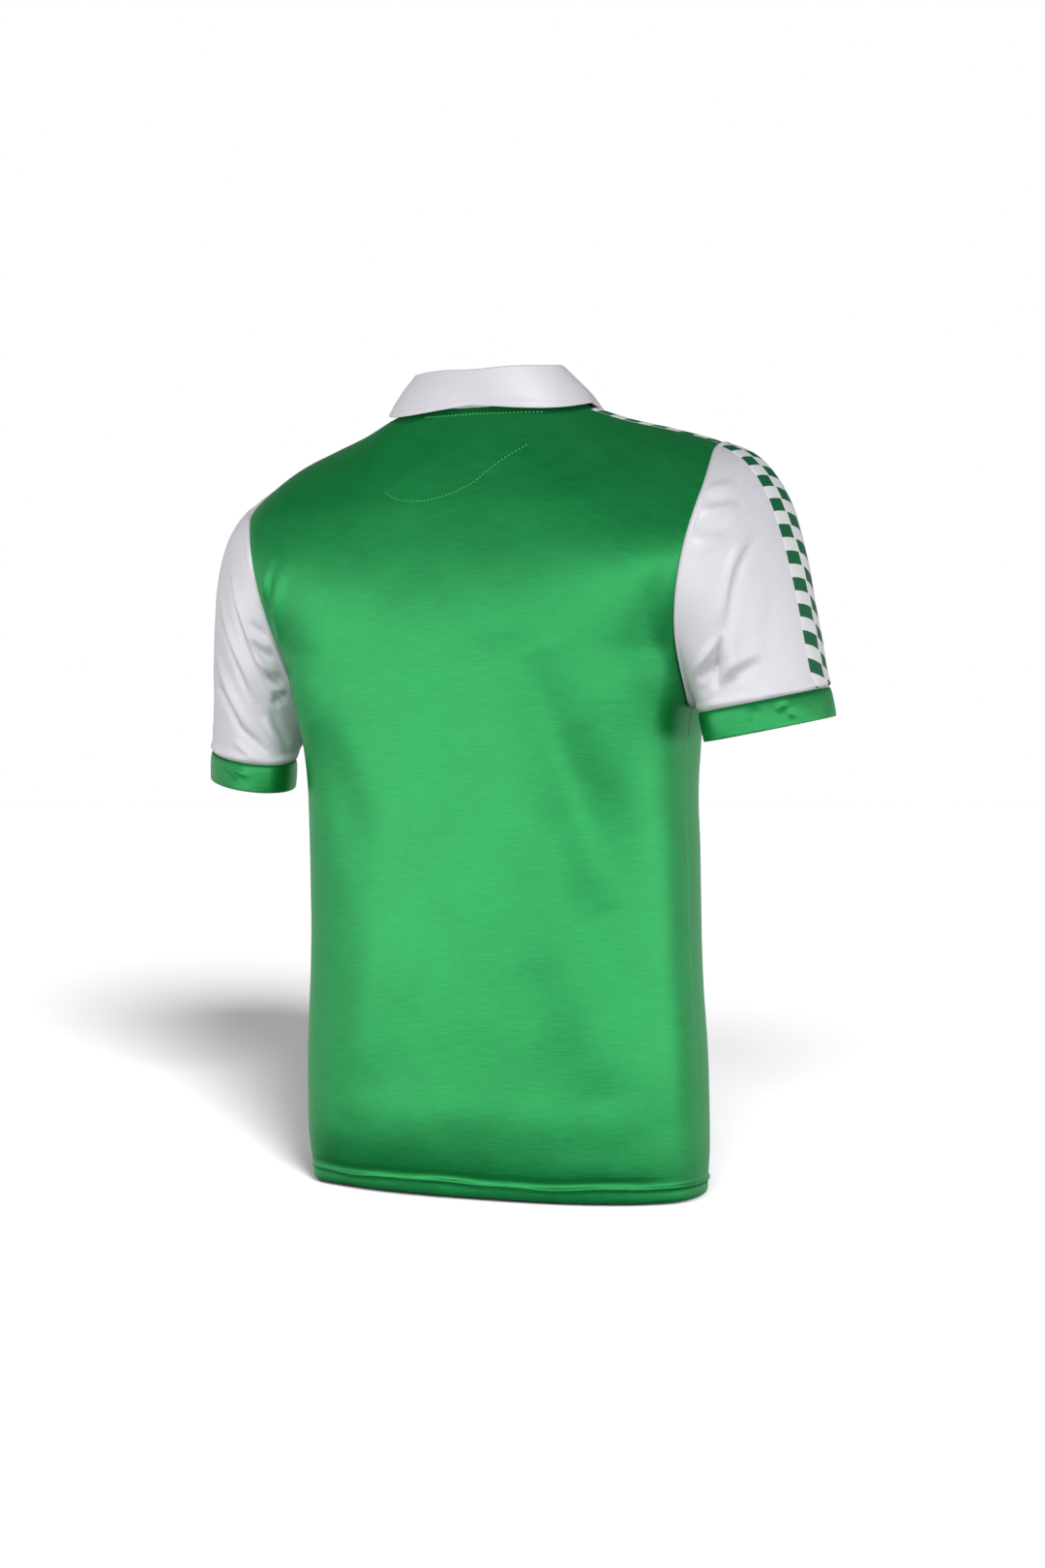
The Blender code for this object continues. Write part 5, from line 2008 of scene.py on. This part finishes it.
RIGHT_SLEEVE_CREASES = (
    Crease(((47, 0.36), (60, 0.35), (71, 0.38), (81, 0.45), (90, 0.54)), 0.0065, 0.0043, 0.3),
    Crease(((44, 0.40), (58, 0.40), (69, 0.43), (79, 0.50), (88, 0.60)), 0.0048, -0.0053),
    Crease(((60, 0.03), (51, 0.09), (39, 0.15)), 0.0055, 0.0026),
    Crease(((66, 0.04), (56, 0.12), (44, 0.19)), 0.0045, -0.0024),
    Crease(((71, 0.05), (62, 0.14), (47, 0.23)), 0.0055, 0.0026),
    Crease(((80, 0.07), (70, 0.17), (56, 0.25)), 0.0050, -0.0026),
    Crease(((88, 0.09), (77, 0.20), (66, 0.26)), 0.0060, 0.0029),
    Crease(((94, 0.57), (101, 0.62), (108, 0.71), (112, 0.82)), 0.0034, -0.0060),
    Crease(((84, 0.58), (91, 0.68), (98, 0.82)), 0.0060, 0.0038),
    Crease(((130, 0.58), (114, 0.56), (97, 0.56)), 0.0034, 0.0038),
    Crease(((126, 0.65), (114, 0.65), (103, 0.66)), 0.0055, -0.0046),
    Crease(((111, 0.81), (94, 0.74), (77, 0.75), (58, 0.75)), 0.0070, 0.0026),
    Crease(((116, 0.86), (98, 0.80), (80, 0.80), (62, 0.81)), 0.0060, -0.0023),
    Crease(((129, 0.78), (107, 0.70), (94, 0.66)), 0.0050, -0.0026),
    Crease(((39, 0.57), (49, 0.68), (62, 0.80)), 0.0090, -0.0010),
    Crease(((206, 0.24), (230, 0.38), (250, 0.52)), 0.0080, -0.0038),
    Crease(((218, 0.18), (244, 0.32), (266, 0.46)), 0.0085, 0.0030),
    Crease(((236, 0.54), (258, 0.68), (280, 0.80)), 0.0080, -0.0024),
)
LEFT_CUFF_CREASES = (
    Crease(((76, 0.008), (90, 0.015), (104, 0.020)), 0.0032, -0.0010),
    Crease(((96, 0.006), (116, 0.012)), 0.0030, 0.0008),
    Crease(((230, 0.006), (250, 0.018)), 0.0034, -0.0010),
)
RIGHT_CUFF_CREASES = (
    Crease(((44, 0.006), (54, 0.009), (60, 0.012)), 0.0030, -0.0010),
    Crease(((36, 0.018), (48, 0.015)), 0.0028, -0.0008),
    Crease(((78, 0.006), (92, 0.014)), 0.0036, 0.0007),
    Crease(((240, 0.008), (262, 0.018)), 0.0034, -0.0010),
)
YOKE_STITCH_PATH = (
    (0.067, -0.0788),
    (0.055, -0.0855),
    (0.041, -0.0880),
    (0.022, -0.0876),
    (0.000, -0.0824),
    (-0.018, -0.0745),
    (-0.035, -0.0615),
    (-0.050, -0.0507),
    (-0.066, -0.0410),
)
NECK_STITCH_PATH = (
    (0.046, -0.0102),
    (0.020, -0.0104),
    (0.000, -0.0100),
    (-0.033, -0.0106),
    (-0.067, -0.0108),
)


# ---- The jersey ----------------------------------------------------------------------
@dataclass
class Jersey:
    """All pieces of the jersey."""

    form: BodyForm = field(default_factory=BodyForm)

    def body(self) -> tuple[Panel, Panel]:
        """Make the two body panels and their stitching."""
        back = Panel(
            self.form, Side.BACK, "back_panel_cloth", GREEN_KNIT, BACK_CREASES, (0.56, 0.77), 0.400
        )
        front = Panel(
            self.form, Side.FRONT, "front_panel_cloth", GREEN_KNIT, FRONT_CREASES, (0.56, 0.77), 0.390
        )
        back.build()
        front.build()
        hem_line = -back.length + 0.0102
        hem = Stitching("hem_stitches", HEM_THREAD, "green_knit", radius=0.00022)
        hem.lay([back.row_at(hem_line), front.row_at(hem_line)])
        neck = Stitching("neck_stitches", GREEN_THREAD, "green_knit", length=0.0022, gap=0.0013, radius=0.00042)
        neck.lay([back.on_cloth(NECK_STITCH_PATH)])
        yoke = Stitching("yoke_stitches", GREEN_THREAD, "green_knit", length=0.0022, gap=0.0013, radius=0.00042)
        yoke.lay([back.on_cloth(YOKE_STITCH_PATH)])
        return back, front

    def sleeves(self, back: Panel, front: Panel) -> None:
        """Make the sleeves, cuffs and sleeve tapes."""
        left = Sleeve(
            Arm.LEFT, Armhole(back.armhole_edge(True), front.armhole_edge(True)), WHITE_KNIT,
            out=0.260, back=-0.006, height=-0.323, major=0.060, minor=0.038,
            rise_out=0.12, rise_back=-0.13, head_up=-0.21, head_pull=1.06,
            creases=LEFT_SLEEVE_CREASES, cut=(0.47, 0.24), cut_area=0.074,
        )
        right = Sleeve(
            Arm.RIGHT, Armhole(back.armhole_edge(False), front.armhole_edge(False)), WHITE_KNIT,
            out=0.254, back=-0.008, height=-0.277, major=0.060, minor=0.041,
            rise_out=0.17, rise_back=-0.10, head_up=-0.17, head_pull=1.15,
            creases=RIGHT_SLEEVE_CREASES, cut=(0.47, 0.24), cut_area=0.064,
        )
        for sleeve, creases in ((left, LEFT_CUFF_CREASES), (right, RIGHT_CUFF_CREASES)):
            sleeve.build()
            Cuff(sleeve, GREEN_KNIT, creases).build()
            SleeveTape(TAPE).build(sleeve)

    def neck(self) -> None:
        """Make the collar, its stitching and the shoulder tapes."""
        collar = Collar(self.form, WHITE_KNIT)
        collar.build()
        from_edge = np.array([travelled(row[::-1])[::-1] for row in collar.cloth])
        column = int(np.argmin(np.abs(from_edge[len(from_edge) // 2] - 0.0055)))
        points, normals = [], []
        for number, row in enumerate(collar.cloth):
            order = np.argsort(from_edge[number])
            keys = from_edge[number][order]
            points.append(read_line(row[order], keys, np.array([0.0055]))[0])
            normals.append(collar.normals[number, column])
        Stitching("collar_stitches", WHITE_THREAD, "white_knit", radius=0.00020).lay(
            [(np.array(points), np.array(normals))]
        )
        for arm in Arm:
            ShoulderTape(TAPE).build(self.form, arm)

    def build(self) -> None:
        """Make everything."""
        back, front = self.body()
        self.sleeves(back, front)
        self.neck()


def main() -> None:
    """Build the studio and the jersey."""
    logging.basicConfig(level=logging.INFO, format="%(name)s: %(message)s")
    studio = Studio()
    studio.build()
    Jersey().build()
    pieces = bpy.context.scene.objects
    whites = [piece for piece in pieces if piece.name.startswith(WHITE_PIECES)]
    greens = [piece for piece in pieces if piece.name.startswith(GREEN_PIECES)]
    studio.brighten(whites, greens)


if __name__ == "__main__":
    main()
